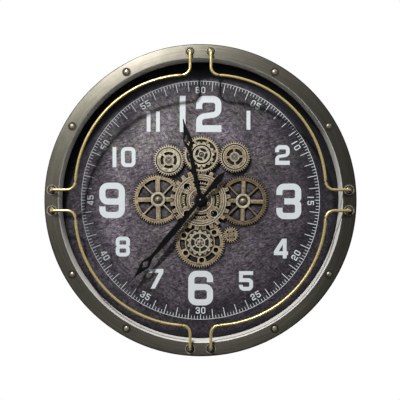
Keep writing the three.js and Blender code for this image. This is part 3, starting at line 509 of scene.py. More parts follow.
def four(w, h, t):
    stem = 0.9 * w - t
    low = 0.17 * h
    slope = (stem - 0.1 * w) / (h - low - t)
    outer = [
        (0, low), (stem, low), (stem, 0), (stem + t, 0), (stem + t, low), (w, low), (w, low + t),
        (stem + t, low + t), (stem + t, h), (stem - 0.05 * w, h), (0, low + t),
    ]
    inner = [(stem, low + t), (stem, h - 1.5 * t), (stem - slope * (h - 2.5 * t - low), low + t)]
    return [outer, inner]


def five(w, h, t):
    r, i = radii(0.34, w, t)
    top = 0.64 * h
    return [rounded([
        (0, 0, r), (w, 0, r), (w, top, r), (t, top, 0), (t, h - t, 0), (w, h - t, 0), (w, h, 0),
        (0, h, 0), (0, top - t, 0), (w - t, top - t, i), (w - t, t, i), (t, t, i), (t, 0.3 * h, 0),
        (0, 0.3 * h, 0),
    ])]


def six(w, h, t):
    r, i = radii(0.34, w, t)
    top = 0.62 * h
    outer = rounded([
        (0, 0, r), (w, 0, r), (w, top, r), (t, top, 0), (t, h - t, i), (w - t, h - t, i),
        (w - t, 0.67 * h, 0), (w, 0.67 * h, 0), (w, h, r), (0, h, r),
    ])
    return [outer, panel(t, t, w - t, top - t, i)]


def seven(w, h, t):
    foot = 0.12 * w
    return [[(foot, 0), (foot + 1.12 * t, 0), (w, h - t), (w, h), (0, h), (0, h - t), (w - 1.2 * t, h - t)]]


def eight(w, h, t):
    r, i = radii(0.32, w, t)
    notch = 0.3 * t
    half = h / 2
    outer = rounded([
        (0, 0, r), (w, 0, r), (w, half - notch, 0.5 * r), (w - notch, half, 0),
        (w, half + notch, 0.5 * r), (w, h, r), (0, h, r), (0, half + notch, 0.5 * r),
        (notch, half, 0), (0, half - notch, 0.5 * r),
    ])
    return [outer, panel(t, t, w - t, half - t / 2, i), panel(t, half + t / 2, w - t, h - t, i)]


def nine(w, h, t):
    return shifted(six(w, h, t), w, h, math.pi)


DIGITS = [zero, one, two, three, four, five, six, seven, eight, nine]

# Hour numerals: figure, left, right, top and bottom edge in millimetres from the dial's centre, stroke
LARGE = 12.2
SMALL = 7.6
HOURS = [
    (1, -41.0, -29.6, 206.0, 134.6, LARGE),
    (2, -8.8, 41.2, 206.0, 134.6, LARGE),
    (3, 149.6, 198.8, 32.8, -37.4, LARGE),
    (6, -24.2, 24.8, -139.2, -207.6, LARGE),
    (9, -199.8, -149.2, 34.6, -35.4, LARGE),
    (1, 90.0, 98.4, 176.6, 139.2, SMALL),
    (2, 147.4, 176.2, 108.8, 69.6, SMALL),
    (4, 144.8, 172.8, -76.0, -115.0, SMALL),
    (5, 76.0, 103.8, -140.0, -178.6, SMALL),
    (7, -102.0, -73.4, -135.6, -174.6, SMALL),
    (8, -167.4, -139.2, -71.8, -111.2, SMALL),
    (1, -174.8, -166.0, 105.0, 65.4, SMALL),
    (0, -157.0, -128.2, 105.0, 65.4, SMALL),
    (1, -107.0, -98.6, 175.2, 135.2, SMALL),
    (1, -88.2, -80.2, 175.2, 135.2, SMALL),
]


# Nodes

class Nodes:
    """Adds shader nodes to one tree."""

    def __init__(self, tree):
        self.tree = tree

    def join(self, node, inputs):
        """Sets a node's inputs, or joins them to other nodes' outputs."""
        for key, value in inputs.items():
            if isinstance(value, bpy.types.NodeSocket):
                self.tree.links.new(value, node.inputs[key])
            else:
                node.inputs[key].default_value = value
        return node

    def add(self, kind, inputs=None, **settings):
        made = self.tree.nodes.new("ShaderNode" + kind)
        for key, value in settings.items():
            setattr(made, key, value)
        return self.join(made, inputs or {})

    def use(self, group, inputs):
        """Places a node group and gives its outputs."""
        made = self.tree.nodes.new("ShaderNodeGroup")
        made.node_tree = bpy.data.node_groups[group]
        return self.join(made, inputs).outputs

    def maths(self, operation, first, second, clamped=False):
        return self.add("Math", {0: first, 1: second}, operation=operation, use_clamp=clamped).outputs[0]

    def plus(self, first, second):
        return self.maths("ADD", first, second)

    def minus(self, first, second):
        return self.maths("SUBTRACT", first, second)

    def times(self, first, second):
        return self.maths("MULTIPLY", first, second)

    def larger(self, first, second):
        return self.maths("MAXIMUM", first, second)

    def spread(self, value, low, high, to_low=0.0, to_high=1.0):
        """Spreads a value from one range over another, and keeps it inside."""
        return self.add("MapRange", {0: value, 1: low, 2: high, 3: to_low, 4: to_high}).outputs[0]

    def blend(self, factor, first, second, kind="MIX"):
        """Mixes two colours."""
        inputs = {0: factor, 6: first, 7: second}
        return self.add("Mix", inputs, data_type="RGBA", blend_type=kind).outputs[2]

    def noise(self, vector, scale, detail, roughness=0.5, distortion=0.0):
        inputs = {"Vector": vector, "Scale": scale, "Detail": detail}
        inputs.update({"Roughness": roughness, "Distortion": distortion})
        return self.add("TexNoise", inputs).outputs[0]

    def parts(self, vector):
        """A vector's x, y and z."""
        return self.add("SeparateXYZ", {0: vector}).outputs

    def vector(self, x, y, z):
        return self.add("CombineXYZ", {0: x, 1: y, 2: z}).outputs[0]

    def lean(self, vector, direction):
        """How far a vector reaches along a direction."""
        return self.add("VectorMath", {0: vector, 1: direction}, operation="DOT_PRODUCT").outputs["Value"]


def tint(colour, share=1.0):
    """A colour scaled in brightness, with full alpha."""
    return (colour[0] * share, colour[1] * share, colour[2] * share, 1.0)


def new_group(name, inputs, outputs):
    """An empty node group: its nodes, what it is given and the node that takes what it gives."""
    tree = bpy.data.node_groups.new(name, "ShaderNodeTree")
    for label, kind, value in inputs:
        socket = tree.interface.new_socket(label, in_out="INPUT", socket_type="NodeSocket" + kind)
        if value is not None:
            socket.default_value = value
    for label in outputs:
        tree.interface.new_socket(label, in_out="OUTPUT", socket_type="NodeSocketFloat")
    return Nodes(tree), tree.nodes.new("NodeGroupInput").outputs, tree.nodes.new("NodeGroupOutput")


def make_edge_wear():
    """A mask of the edges where handling has rubbed the finish away; on the gear brass it also carries painted
    highlights.
    """
    inputs = [("Width", "Float", 0.0006), ("Strength", "Float", 6.0), ("Breakup", "Float", 900.0)]
    nodes, given, out = new_group("Edge wear", inputs, ["Mask"])
    soft = nodes.add("Bevel", {"Radius": given["Width"]}, samples=6).outputs[0]
    hard = nodes.add("NewGeometry").outputs["Normal"]
    strong = nodes.times(nodes.minus(1.0, nodes.lean(soft, hard)), given["Strength"])
    place = nodes.add("TexCoord").outputs["Object"]
    broken = nodes.spread(nodes.noise(place, given["Breakup"], 3.0), 0.3, 0.6, 0.35, 1.0)
    nodes.join(out, {"Mask": nodes.maths("MULTIPLY", strong, broken, clamped=True)})


def make_patina():
    """Cloudy tarnish at two sizes."""
    inputs = [("Vector", "Vector", None), ("Scale", "Float", 40.0)]
    inputs += [("Low", "Float", 0.4), ("High", "Float", 0.65)]
    nodes, given, out = new_group("Patina", inputs, ["Mask"])
    large = nodes.noise(given["Vector"], given["Scale"], 6.0, 0.62, 0.6)
    small = nodes.noise(given["Vector"], nodes.times(given["Scale"], 9.0), 4.0, 0.7)
    both = nodes.plus(nodes.times(large, 0.65), nodes.times(small, 0.35))
    nodes.join(out, {"Mask": nodes.spread(both, given["Low"], given["High"])})


def make_hollow_shade():
    """A mask of the corners and hollow places where painted shade is laid."""
    inputs = [("Reach", "Float", 0.003), ("Strength", "Float", 1.0)]
    nodes, given, out = new_group("Hollow shade", inputs, ["Mask"])
    open_share = nodes.add("AmbientOcclusion", {"Distance": given["Reach"]}, samples=8).outputs["AO"]
    closed = nodes.minus(1.0, open_share)
    nodes.join(out, {"Mask": nodes.maths("MULTIPLY", closed, given["Strength"], clamped=True)})


def make_scratches():
    """Straight scratches in one direction, and the soft streaks that they make together."""
    inputs = [("Vector", "Vector", None), ("Angle", "Float", 0.6), ("Scale", "Float", 60.0)]
    inputs += [("Stretch", "Float", 0.05), ("Amount", "Float", 0.5)]
    nodes, given, out = new_group("Scratches", inputs, ["Mask", "Streaks"])
    turning = {"Vector": given["Vector"], "Axis": (0.0, 1.0, 0.0), "Angle": given["Angle"]}
    x, _, z = nodes.parts(nodes.add("VectorRotate", turning).outputs[0])
    line = nodes.vector(nodes.times(x, given["Stretch"]), 0.0, z)
    streak = nodes.noise(line, given["Scale"], 9.0, 0.85, 0.15)
    limit = nodes.minus(0.78, nodes.times(given["Amount"], 0.3))
    nodes.join(out, {"Mask": nodes.spread(streak, limit, nodes.plus(limit, 0.1)), "Streaks": streak})


def make_turned_lines():
    """Lines that run round the axis of a turned or brushed piece, from coordinates centred on it."""
    inputs = [("Vector", "Vector", None), ("Scale", "Float", 1500.0), ("Length", "Float", 2.5)]
    nodes, given, out = new_group("Turned lines", inputs, ["Lines"])
    x, _, z = nodes.parts(given["Vector"])
    radius = nodes.maths("SQRT", nodes.plus(nodes.times(x, x), nodes.times(z, z)), 0.0)
    near = nodes.add("VectorMath", {0: given["Vector"]}, operation="NORMALIZE").outputs[0]
    turn = nodes.add("VectorMath", {0: near, "Scale": given["Length"]}, operation="SCALE").outputs[0]
    turn_x, _, turn_z = nodes.parts(turn)
    point = nodes.vector(turn_x, nodes.times(radius, given["Scale"]), turn_z)
    nodes.join(out, {"Lines": nodes.noise(point, 1.0, 4.0, 0.75)})


class Look(Nodes):
    """A material in the making, with the colour that it has so far."""

    def __init__(self, name):
        material = bpy.data.materials.new(name)
        material.use_nodes = True
        super().__init__(material.node_tree)
        self.shader = self.tree.nodes["Principled BSDF"]
        self.place = self.add("TexCoord").outputs["Object"]
        self.base = None

    def centred(self, centre):
        """Coordinates measured from an axis."""
        shift = (-centre[0], 0.0, -centre[1])
        return self.add("Mapping", {"Vector": self.place, "Location": shift}).outputs[0]

    def radius(self, place):
        """The distance from the axis that the coordinates are centred on."""
        flat = self.add("VectorMath", {0: place, 1: (1.0, 0.0, 1.0)}, operation="MULTIPLY").outputs[0]
        return self.add("VectorMath", {0: flat}, operation="LENGTH").outputs["Value"]

    def patina(self, scale, low, high):
        return self.use("Patina", {"Vector": self.place, "Scale": scale, "Low": low, "High": high})["Mask"]

    def scratches(self, angle, scale, amount, stretch=0.05):
        inputs = {"Vector": self.place, "Angle": angle, "Scale": scale}
        return self.use("Scratches", {**inputs, "Stretch": stretch, "Amount": amount})

    def turned_lines(self, place, scale, length):
        return self.use("Turned lines", {"Vector": place, "Scale": scale, "Length": length})["Lines"]

    def worn_edges(self, width, strength, breakup):
        return self.use("Edge wear", {"Width": width, "Strength": strength, "Breakup": breakup})["Mask"]

    def hollow_shade(self, reach, strength):
        return self.use("Hollow shade", {"Reach": reach, "Strength": strength})["Mask"]

    def coat(self, mask, colour, share=1.0):
        """Lays a colour on, where the mask says and as thickly as the share says."""
        self.base = self.blend(self.times(mask, share), self.base, colour)

    def shade(self, value):
        """Scales the colour's brightness."""
        grey = self.add("CombineColor", {0: value, 1: value, 2: value}).outputs[0]
        self.base = self.blend(1.0, self.base, grey, "MULTIPLY")

    def finish(self, height, strength, distance, **sockets):
        """Gives the shader its colour, bumps and other sockets, written with underscores."""
        bumps = self.add("Bump", {"Strength": strength, "Distance": distance, "Height": height})
        sockets.update(Base_Color=self.base, Normal=bumps.outputs[0])
        self.join(self.shader, {key.replace("_", " "): value for key, value in sockets.items()})


# Finishes

def brushed_bronze(colour):
    """The ring's antique metal, brushed round and round. Its inner wall is a pale finish made near white partly as
    painted highlight, and painted light and shade make the face lighter to the upper left, darker on the right and
    dark on the outer roll.
    """
    look = Look("Brushed antique bronze")
    ring_place = look.centred(CENTRE)
    radius = look.radius(ring_place)
    outside, inside = RING_RADIUS * MM, (RING_RADIUS - RING_WIDTH) * MM
    face = DIAL_FACE - FACE_LEVEL * MM
    near_face = look.spread(look.parts(look.place)[1], face + 0.008, face + 0.003)
    fine = look.turned_lines(ring_place, 1500.0, 5.0)
    broad = look.turned_lines(ring_place, 420.0, 2.2)
    lines = look.plus(look.times(fine, 0.6), look.times(broad, 0.4))
    clouds = look.patina(9.0, 0.38, 0.68)
    stained = (colour[0] * 0.72, colour[1] * 0.78, colour[2] * 0.72, 1.0)
    look.base = look.blend(clouds, tint(colour, 1.05), stained)
    look.shade(look.spread(lines, 0.33, 0.66, 0.6, 1.3))
    look.coat(look.worn_edges(0.0016, 3.0, 160.0), tint(colour, 2.6), 0.5)
    # The inner wall: a pale finish, made near white partly as a painted highlight.
    wall = look.spread(radius, inside + 0.0012, inside + 0.0003)
    look.coat(wall, look.blend(clouds, (0.97, 0.96, 0.93, 1.0), (0.88, 0.86, 0.81, 1.0)))
    # Painted shade: the front of the outer roll is darkened.
    roll = look.spread(radius, outside - 0.0026, outside - 0.0010, 0.0, 0.85)
    look.coat(look.times(roll, near_face), tint(colour, 0.1))
    # Painted light and shade: the face is lighter towards the upper left and darker on the right; the inner wall keeps
    # its colour from before them.
    rubbed = look.base
    painted_light_fade = look.spread(look.lean(ring_place, (-0.45, 0.0, 0.89)), -0.28, 0.28, 0.72, 1.2)
    painted_shade_side = look.spread(look.lean(ring_place, (-0.94, 0.0, 0.34)), -0.286, 0.057, 0.5, 0.0)
    look.shade(look.times(painted_light_fade, look.minus(1.0, look.times(painted_shade_side, near_face))))
    look.coat(wall, rubbed)
    rough = look.plus(look.spread(lines, 0.3, 0.7, 0.40, 0.54), look.times(clouds, 0.06))
    tangent = look.add("Tangent", direction_type="RADIAL", axis="Y").outputs[0]
    look.finish(lines, 0.35, 0.00012, Metallic=look.minus(1.0, wall), Roughness=rough,
                Anisotropic=0.56, Anisotropic_Rotation=0.25, Tangent=tangent,
                Specular_Tint=(0.4, 0.37, 0.33, 1.0))


def worn_plate(colour):
    """The dial plate: mottled grey metal, scratched in all directions, with painted light and shade: lighter to the
    upper left, darker towards its edge as a dark border and as shade under the deep ring, a painted shadow along the
    top of the border, and painted shade round the wheels.
    """
    look = Look("Worn dial plate")
    dial_place = look.centred(CENTRE)
    radius = look.radius(dial_place)
    mottled = look.patina(14.0, 0.42, 0.58)
    grain = look.patina(210.0, 0.38, 0.62)
    warm = look.patina(4.0, 0.47, 0.57)
    region = look.patina(6.5, 0.46, 0.56)
    falling = look.scratches(0.3, 340.0, 0.5, 0.2)["Streaks"]
    rising = look.scratches(-0.75, 300.0, 0.5, 0.22)["Streaks"]
    streaks = look.add("Mix", {0: region, 2: falling, 3: rising}).outputs[0]
    marks = look.larger(look.scratches(0.8, 90.0, 0.6)["Mask"], look.scratches(-0.4, 150.0, 0.62)["Mask"])
    olive = (colour[0] * 0.98, colour[1] * 1.08, colour[2] * 0.86, 1.0)
    look.base = look.blend(warm, tint(colour, 1.12), olive)
    look.coat(mottled, tint(colour, 0.42), 0.85)
    look.shade(look.times(look.spread(streaks, 0.42, 0.58, 0.2, 1.95), look.spread(grain, 0.0, 1.0, 0.3, 1.8)))
    look.coat(marks, tint(colour, 3.0), 0.45)
    # Painted light: lighter towards the upper left; the plate is also brighter towards the middle.
    painted_light_fade = look.spread(look.lean(dial_place, (-0.88, 0.0, 0.47)), -0.16, 0.16, 0.72, 1.2)
    look.shade(look.times(painted_light_fade, look.spread(radius, 0.11, 0.19, 1.28, 1.0)))
    # The border beyond the scale darkens more towards the top as a painted shadow; the plate darkens towards its edge,
    # a dark border that also stands in as painted shade under the deep ring.
    upper = look.spread(look.parts(dial_place)[2], 0.0, 0.12, 0.0, 0.38)
    border_shadow = look.times(look.spread(radius, 0.235, 0.245), upper)
    rim = look.plus(look.spread(radius, 0.17, 0.195, 0.0, 0.14), look.spread(radius, 0.195, 0.215, 0.0, 0.46))
    look.coat(look.plus(rim, border_shadow), (0.004, 0.0045, 0.009, 1.0))
    # Painted shade, near black, round and under the wheels and along the ring's wall.
    look.coat(look.hollow_shade(0.018, 2.2), (0.004, 0.0035, 0.004, 1.0), 0.93)
    rear = look.spread(look.parts(look.place)[1], DIAL_FACE + 0.0003, DIAL_FACE + 0.0005)
    look.coat(rear, look.blend(grain, (0.17, 0.17, 0.175, 1.0), (0.12, 0.12, 0.12, 1.0)))
    look.finish(look.minus(streaks, look.times(marks, 0.6)), 0.5, 0.0002, Metallic=0.3,
                Roughness=look.spread(mottled, 0.0, 1.0, 0.48, 0.64), Specular_IOR_Level=0.2)


def print_paint(colour):
    """The numerals' paint, thin enough for the plate's grain to show, with painted shade dulling the left of the
    scale.
    """
    look = Look("Printed white")
    dial_place = look.centred(CENTRE)
    grain = look.patina(110.0, 0.4, 0.7)
    look.base = look.blend(look.times(grain, 0.3), tint(colour, 1.03), tint(colour, 0.78))
    look.coat(look.patina(30.0, 0.56, 0.72), (0.42, 0.43, 0.46, 1.0), 0.25)
    # Painted shade: the scale is darkened on its left.
    left = look.spread(look.lean(dial_place, (-0.9, 0.0, 0.43)), -0.05, 0.18, 0.06, 0.5)
    scale = look.spread(look.radius(dial_place), 0.200, 0.210)
    look.coat(look.times(scale, left), (0.06, 0.06, 0.07, 1.0))
    look.finish(grain, 0.2, 0.0001, Roughness=look.spread(grain, 0.0, 1.0, 0.45, 0.6))


def brass(name, colour, tarnish, rough=0.34, edge=0.0018, glow=(1.0, 0.93, 0.74), recess=0.97):
    """Gear brass: clouded with tarnish, painted shade black in its corners, edges rubbed bright that partly stand in
    as painted highlights, and patches of painted highlight.
    """
    look = Look(name)
    clouds = look.patina(62.0, 0.45, 0.57)
    specks = look.patina(190.0, 0.48, 0.60)
    lines = look.scratches(0.5, 320.0, 0.7)["Mask"]
    look.base = look.blend(look.times(clouds, 0.9), tint(colour, 1.3), tint(tarnish, 0.9))
    # Painted highlight: patches of the bright colour.
    look.coat(look.patina(95.0, 0.50, 0.60), tint(glow, 0.9), 0.5)
    look.coat(specks, tint(tarnish, 0.3), 0.8)
    look.coat(lines, tint(glow, 0.8), 0.3)
    # Painted shade: near black in the corners and gaps.
    look.coat(look.hollow_shade(0.005, 2.8), tint(tarnish, 0.05), recess)
    # Edges rubbed bright, which also stand in as painted highlights.
    look.coat(look.worn_edges(edge, 12.0, 500.0), tint(glow), 0.95)
    clouded = look.spread(clouds, 0.0, 1.0, rough - 0.05, rough + 0.14)
    look.finish(look.minus(look.times(clouds, -0.4), look.times(lines, 0.4)), 0.3, 0.0001,
                Metallic=0.5, Roughness=look.plus(clouded, look.times(specks, 0.1)))


def satin_brass(colour):
    """The drawn and polished rods, with painted shade on their undersides."""
    look = Look("Satin rod brass")
    clouds = look.patina(26.0, 0.42, 0.68)
    specks = look.patina(180.0, 0.54, 0.7)
    look.base = look.blend(look.times(clouds, 0.5), tint(colour), tint(colour, 0.68))
    look.coat(specks, (0.25, 0.17, 0.06, 1.0), 0.35)
    # Painted shade: darker where the surface faces down.
    upward = look.parts(look.add("NewGeometry").outputs["Normal"])[2]
    look.coat(look.spread(upward, -0.15, -0.8, 0.0, 0.75), (0.10, 0.06, 0.02, 1.0))
    look.finish(specks, 0.15, 0.0001, Metallic=0.5, Roughness=look.spread(clouds, 0.0, 1.0, 0.24, 0.36))


def black_lacquer(colour):
    """The hands' gloss black, lightly scuffed."""
    look = Look("Black lacquer")
    scuffs = look.scratches(1.1, 240.0, 0.45)["Mask"]
    dust = look.patina(150.0, 0.58, 0.72)
    marks = look.larger(look.times(scuffs, 0.5), look.times(dust, 0.35))
    look.base = look.blend(look.times(marks, 0.1), tint(colour), (0.07, 0.07, 0.075, 1.0))
    look.finish(marks, 0.08, 0.00005, Roughness=look.spread(marks, 0.0, 1.0, 0.28, 0.45),
                Specular_IOR_Level=0.22)


def turned_steel(name, colour, rough):
    """Pins, nuts and tubes: turned steel."""
    look = Look(name)
    grain = look.patina(260.0, 0.4, 0.68)
    look.base = look.blend(look.times(look.patina(60.0, 0.45, 0.7), 0.4), tint(colour), tint(colour, 0.55))
    look.coat(grain, tint(colour, 0.7), 0.25)
    look.coat(look.worn_edges(0.0004, 3.0, 900.0), tint(colour, 1.35), 0.5)
    look.finish(grain, 0.15, 0.00008, Metallic=0.95, Roughness=look.spread(grain, 0.0, 1.0, rough, rough + 0.14))


def moulded(name, colour, rough):
    """Moulded plastic with its fine spark-eroded texture."""
    look = Look(name)
    dust = look.patina(40.0, 0.5, 0.75)
    lift = (colour[0] + 0.05, colour[1] + 0.05, colour[2] + 0.05)
    look.base = look.blend(look.times(dust, 0.3), tint(colour), tint(lift))
    look.coat(look.worn_edges(0.0006, 2.5, 300.0), tint(lift, 1.3), 0.3)
    look.finish(look.noise(look.place, 1600.0, 3.0), 0.3, 0.0001,
                Roughness=look.spread(dust, 0.0, 1.0, rough, rough + 0.14))


def cell_sleeve():
    """A dry cell's plain sleeve: dark, with a copper-coloured band at the contact end."""
    look = Look("Cell sleeve")
    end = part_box("movement_battery")[1][0]
    copper = look.spread(look.parts(look.place)[0], end - 0.0142, end - 0.0138)
    grain = look.patina(120.0, 0.4, 0.7)
    look.base = look.blend(copper, (0.028, 0.055, 0.04, 1.0), (0.52, 0.30, 0.12, 1.0))
    look.coat(grain, (0.12, 0.13, 0.12, 1.0), 0.25)
    look.finish(grain, 0.1, 0.00008, Metallic=0.35, Roughness=look.spread(grain, 0.0, 1.0, 0.28, 0.42))


# Operators

class CLOCK_OT_finishes(bpy.types.Operator):
    """Makes the shared effects and the clock's metals, paints and plastics"""

    bl_idname = "clock.finishes"
    bl_label = "Finishes"

    def execute(self, context):
        scene = context.scene
        for make in (make_edge_wear, make_patina, make_hollow_shade, make_scratches, make_turned_lines):
            make()
        brushed_bronze(scene.clock_ring.metal)
        satin_brass(scene.clock_ring.rod_brass)
        worn_plate(scene.clock_dial.plate_metal)
        print_paint(scene.clock_dial.print_white)
        light, dark = scene.clock_gears.light_brass, scene.clock_gears.dark_brass
        brass("Light brass", light, (0.20, 0.155, 0.09))
        # Brass for the raised rims, lips and collars: polished, and lighter partly as painted highlight.
        brass("Polished highlight brass", (0.88, 0.79, 0.56), (0.34, 0.28, 0.18), rough=0.26, glow=(1.0, 0.95, 0.82), recess=0.8)
        # Near-black brass that stands in for shade: painted shade on the seats, floors and hidden discs it is given
        # to.
        brass("Shade black brass", (0.020, 0.016, 0.012), (0.008, 0.006, 0.005), rough=0.5, glow=(0.07, 0.055, 0.035))
        brass("Golden brass", (0.48, 0.36, 0.20), (0.11, 0.08, 0.046), glow=(0.92, 0.80, 0.60))
        brass("Olive brass", dark, (0.08, 0.062, 0.038), glow=(0.70, 0.60, 0.43))
        brass("Brown brass", (0.215, 0.148, 0.086), (0.06, 0.042, 0.026), glow=(0.52, 0.40, 0.25))
        # Dark brown brass that stands in for shade in the side wheels' wells: painted shade.
        brass("Shade brown brass", (0.11, 0.085, 0.05), (0.04, 0.03, 0.018), rough=0.42, glow=(0.4, 0.33, 0.2))
        brass("Worn studs", (0.30, 0.25, 0.18), (0.12, 0.09, 0.06), rough=0.36, edge=0.0005, glow=(0.6, 0.54, 0.44))
        brass("Rivet brass", (0.42, 0.39, 0.31), (0.17, 0.15, 0.11), rough=0.26, edge=0.0005, glow=(0.78, 0.74, 0.62))
        brass("Grommet metal", (0.40, 0.37, 0.30), (0.12, 0.10, 0.07), rough=0.26, edge=0.0005)
        black_lacquer(scene.clock_hands.lacquer)
        turned_steel("Turned steel", (0.52, 0.52, 0.52), 0.22)
        turned_steel("Dark steel", (0.12, 0.12, 0.13), 0.16)
        turned_steel("Zinc plate", (0.46, 0.48, 0.50), 0.36)
        moulded("Black moulding", (0.018, 0.018, 0.02), 0.42)
        moulded("White moulding", (0.70, 0.69, 0.66), 0.4)
        cell_sleeve()
        return {"FINISHED"}


def ring_profile(outer_roll, inner_roll):
    """The ring's pressed sheet, from the return flange at the wall to the flange behind the dial."""
    wall_flange, dial_flange, fold = 10.0, 13.5, 3.0
    outer, inner = RING_RADIUS, RING_RADIUS - RING_WIDTH
    behind, within = WALL_LEVEL + SHEET, FACE_LEVEL - SHEET
    profile = [(outer - wall_flange, WALL_LEVEL), (outer - 1.0, WALL_LEVEL), (outer, WALL_LEVEL + 1.0)]
    corner = (outer - outer_roll, FACE_LEVEL - outer_roll)
    profile += [(corner[0] + x, corner[1] + z) for x, z in arc(outer_roll, 0.0, QUARTER, 8)]
    corner = (inner + inner_roll, FACE_LEVEL - inner_roll)
    profile += [(corner[0] + x, corner[1] + z) for x, z in arc(inner_roll, QUARTER, 2 * QUARTER, 6)]
    profile += [(inner, 0.0), (inner + dial_flange, 0.0), (inner + dial_flange, SHEET), (inner + SHEET, SHEET)]
    profile += [(inner + SHEET, within), (outer - fold, within), (outer - SHEET, FACE_LEVEL - fold)]
    profile += [(outer - SHEET, behind), (outer - wall_flange, behind), profile[0]]
    return profile


class CLOCK_OT_ring(bpy.types.Operator):
    """Spins the deep ring from its section"""

    bl_idname = "clock.ring"
    bl_label = "Ring"

    def execute(self, context):
        sizes = context.scene.clock_ring
        piece = spun(ring_profile(sizes.outer_roll, sizes.inner_roll), CENTRE, 240, 40.0)
        fit(piece, "ring_shell", "clock", "Brushed antique bronze", ["bezel_ring"])
        return {"FINISHED"}


class CLOCK_OT_dial(bpy.types.Operator):
    """Gives the dial plate its worn metal"""

    bl_idname = "clock.dial"
    bl_label = "Dial plate"

    def execute(self, context):
        dress("dial_plate", "Worn dial plate")
        return {"FINISHED"}


class CLOCK_OT_hour_numerals(bpy.types.Operator):
    """Prints the twelve upright hour numerals"""

    bl_idname = "clock.hour_numerals"
    bl_label = "Hour numerals"

    def execute(self, context):
        height = context.scene.clock_dial.print_height
        pieces = []
        for figure, left, right, top, bottom, stroke in HOURS:
            width = right - left
            loops = DIGITS[figure](width, top - bottom, min(stroke, width))
            pieces.append(plate(shifted(loops, left, bottom), 0.0, height, CENTRE))
        fit(joined(pieces), "hour_numerals", "clock", "Printed white")
        return {"FINISHED"}


class CLOCK_OT_minute_numerals(bpy.types.Operator):
    """Prints a number at every fifth minute, turned to face along its radius"""

    bl_idname = "clock.minute_numerals"
    bl_label = "Minute numerals"

    def execute(self, context):
        height = context.scene.clock_dial.print_height
        radius, wide, high, stroke, gap = 217.4, 8.2, 12.8, 2.0, 2.8
        pieces = []
        for number in range(5, 61, 5):
            over = math.pi if 15 < number < 45 else 0.0
            for figure, start in ((number // 10, -wide - gap / 2), (number % 10, gap / 2)):
                if figure == 1:
                    start -= 0.4 * wide
                loops = shifted(DIGITS[figure](wide, high, stroke), start, -high / 2)
                loops = shifted(shifted(loops, 0.0, radius, over), 0.0, 0.0, -math.radians(6 * number))
                pieces.append(plate(loops, 0.0, height, CENTRE))
        fit(joined(pieces), "minute_numerals", "clock", "Printed white")
        return {"FINISHED"}


def scale_comb(inside):
    """The inner edge of the scale's line, with its ticks standing in from it."""
    loop = []
    for i in range(DIVISIONS):
        angle = 2 * math.pi * i / DIVISIONS
        if i % (DIVISIONS // 12) == 0:
            reach, half = HOUR_TICK
        elif i % (DIVISIONS // 60) == 0:
            reach, half = MINUTE_TICK
        else:
            reach, half = PART_TICK
        side = half / reach
        loop += [polar(inside, angle - side), polar(reach, angle - side)]
        loop += [polar(reach, angle + side), polar(inside, angle + side)]
    return loop


class CLOCK_OT_minute_scale(bpy.types.Operator):
    """Prints the minute scale with four divisions to the minute"""

    bl_idname = "clock.minute_scale"
    bl_label = "Minute scale"

    def execute(self, context):
        sizes = context.scene.clock_dial
        loops = [circle(sizes.scale_radius, DIVISIONS), scale_comb(sizes.scale_radius - SCALE_LINE)]
        piece = plate(loops, 0.0, sizes.print_height, CENTRE)
        fit(piece, "minute_scale", "clock", "Printed white")
        return {"FINISHED"}


def repeated(first, name, material, stem):
    """Copies a piece from the first of eight nodes to the others, and fits them all."""
    here = middle(f"{stem}_1")
    for i in range(2, 9):
        there = middle(f"{stem}_{i}")
        move = Matrix.Translation((there[0] - here[0], 0.0, there[1] - here[1]))
        piece = copied(first, f"{name}_{i}", move)
        fit(piece, f"{name}_{i}", "clock", material, [f"{stem}_{i}"])
    fit(first, f"{name}_1", "clock", material, [f"{stem}_1"])


def washers(loops, rise, edge, stem):
    """The same flat ring on the face, round each of eight nodes, as one piece."""
    front = FACE_LEVEL + rise
    return joined([plate(loops, FACE_LEVEL, front, middle(f"{stem}_{i}"), edge=edge) for i in range(1, 9)])


class CLOCK_OT_rivets(bpy.types.Operator):
    """Turns one rivet with a groove round its dome, and copies it"""

    bl_idname = "clock.rivets"
    bl_label = "Rivets"

    def execute(self, context):
        profile = [(0.0, -3.4), (2.4, -3.4), (2.4, 0.0), (6.9, 0.0), (7.0, 0.2), (6.9, 0.75), (6.5, 0.95)]
        profile += [(6.0, 0.75), (5.7, 0.35), (5.4, 0.55)]
        profile += [(5.3 * x, 0.6 + 2.8 * z) for x, z in arc(1.0, 0.0, QUARTER, 8)[1:-1]]
        profile.append((0.0, 3.4))
        first = spun(raised(profile, FACE_LEVEL), middle("ring_rivet_1"), 40, 50.0)
        repeated(first, "rivet_dome", "Rivet brass", "ring_rivet")
        # Painted shadow: near-black rings round the rivets' feet.
        shadow_rings = washers(band(8.2, 5.5, 48, 32), 1.15, 0.3, "ring_rivet")
        fit(shadow_rings, "rivet_shadow_rings", "clock", "Shade black brass")
        return {"FINISHED"}


class CLOCK_OT_grommets(bpy.types.Operator):
    """Turns one of the collars that the rods rise out of, and copies it"""

    bl_idname = "clock.grommets"
    bl_label = "Grommets"

    def execute(self, context):
        profile = [(2.8, -3.7), (4.1, -3.7), (4.1, 0.0), (5.9, 0.0), (6.0, 0.3), (5.85, 1.1), (5.4, 1.6)]
        profile += [(4.9, 1.8), (4.45, 1.65), (4.2, 1.2), (3.9, 0.2), (2.8, -0.2), (2.8, -3.7)]
        first = spun(raised(profile, FACE_LEVEL), middle("wire_ferrule_1"), 36, 50.0)
        repeated(first, "grommet", "Grommet metal", "wire_ferrule")
        # Painted shadow: near-black rings round the holes that the rods enter.
        shadow_rings = washers(band(8.4, 4.3, 48, 32), 0.5, 0.1, "wire_ferrule")
        rims = washers(band(9.9, 8.2, 48), 0.8, 0.3, "wire_ferrule")
        fit(shadow_rings, "grommet_shadow_rings", "clock", "Shade black brass")
        fit(rims, "grommet_rims", "clock", "Grommet metal")
        return {"FINISHED"}


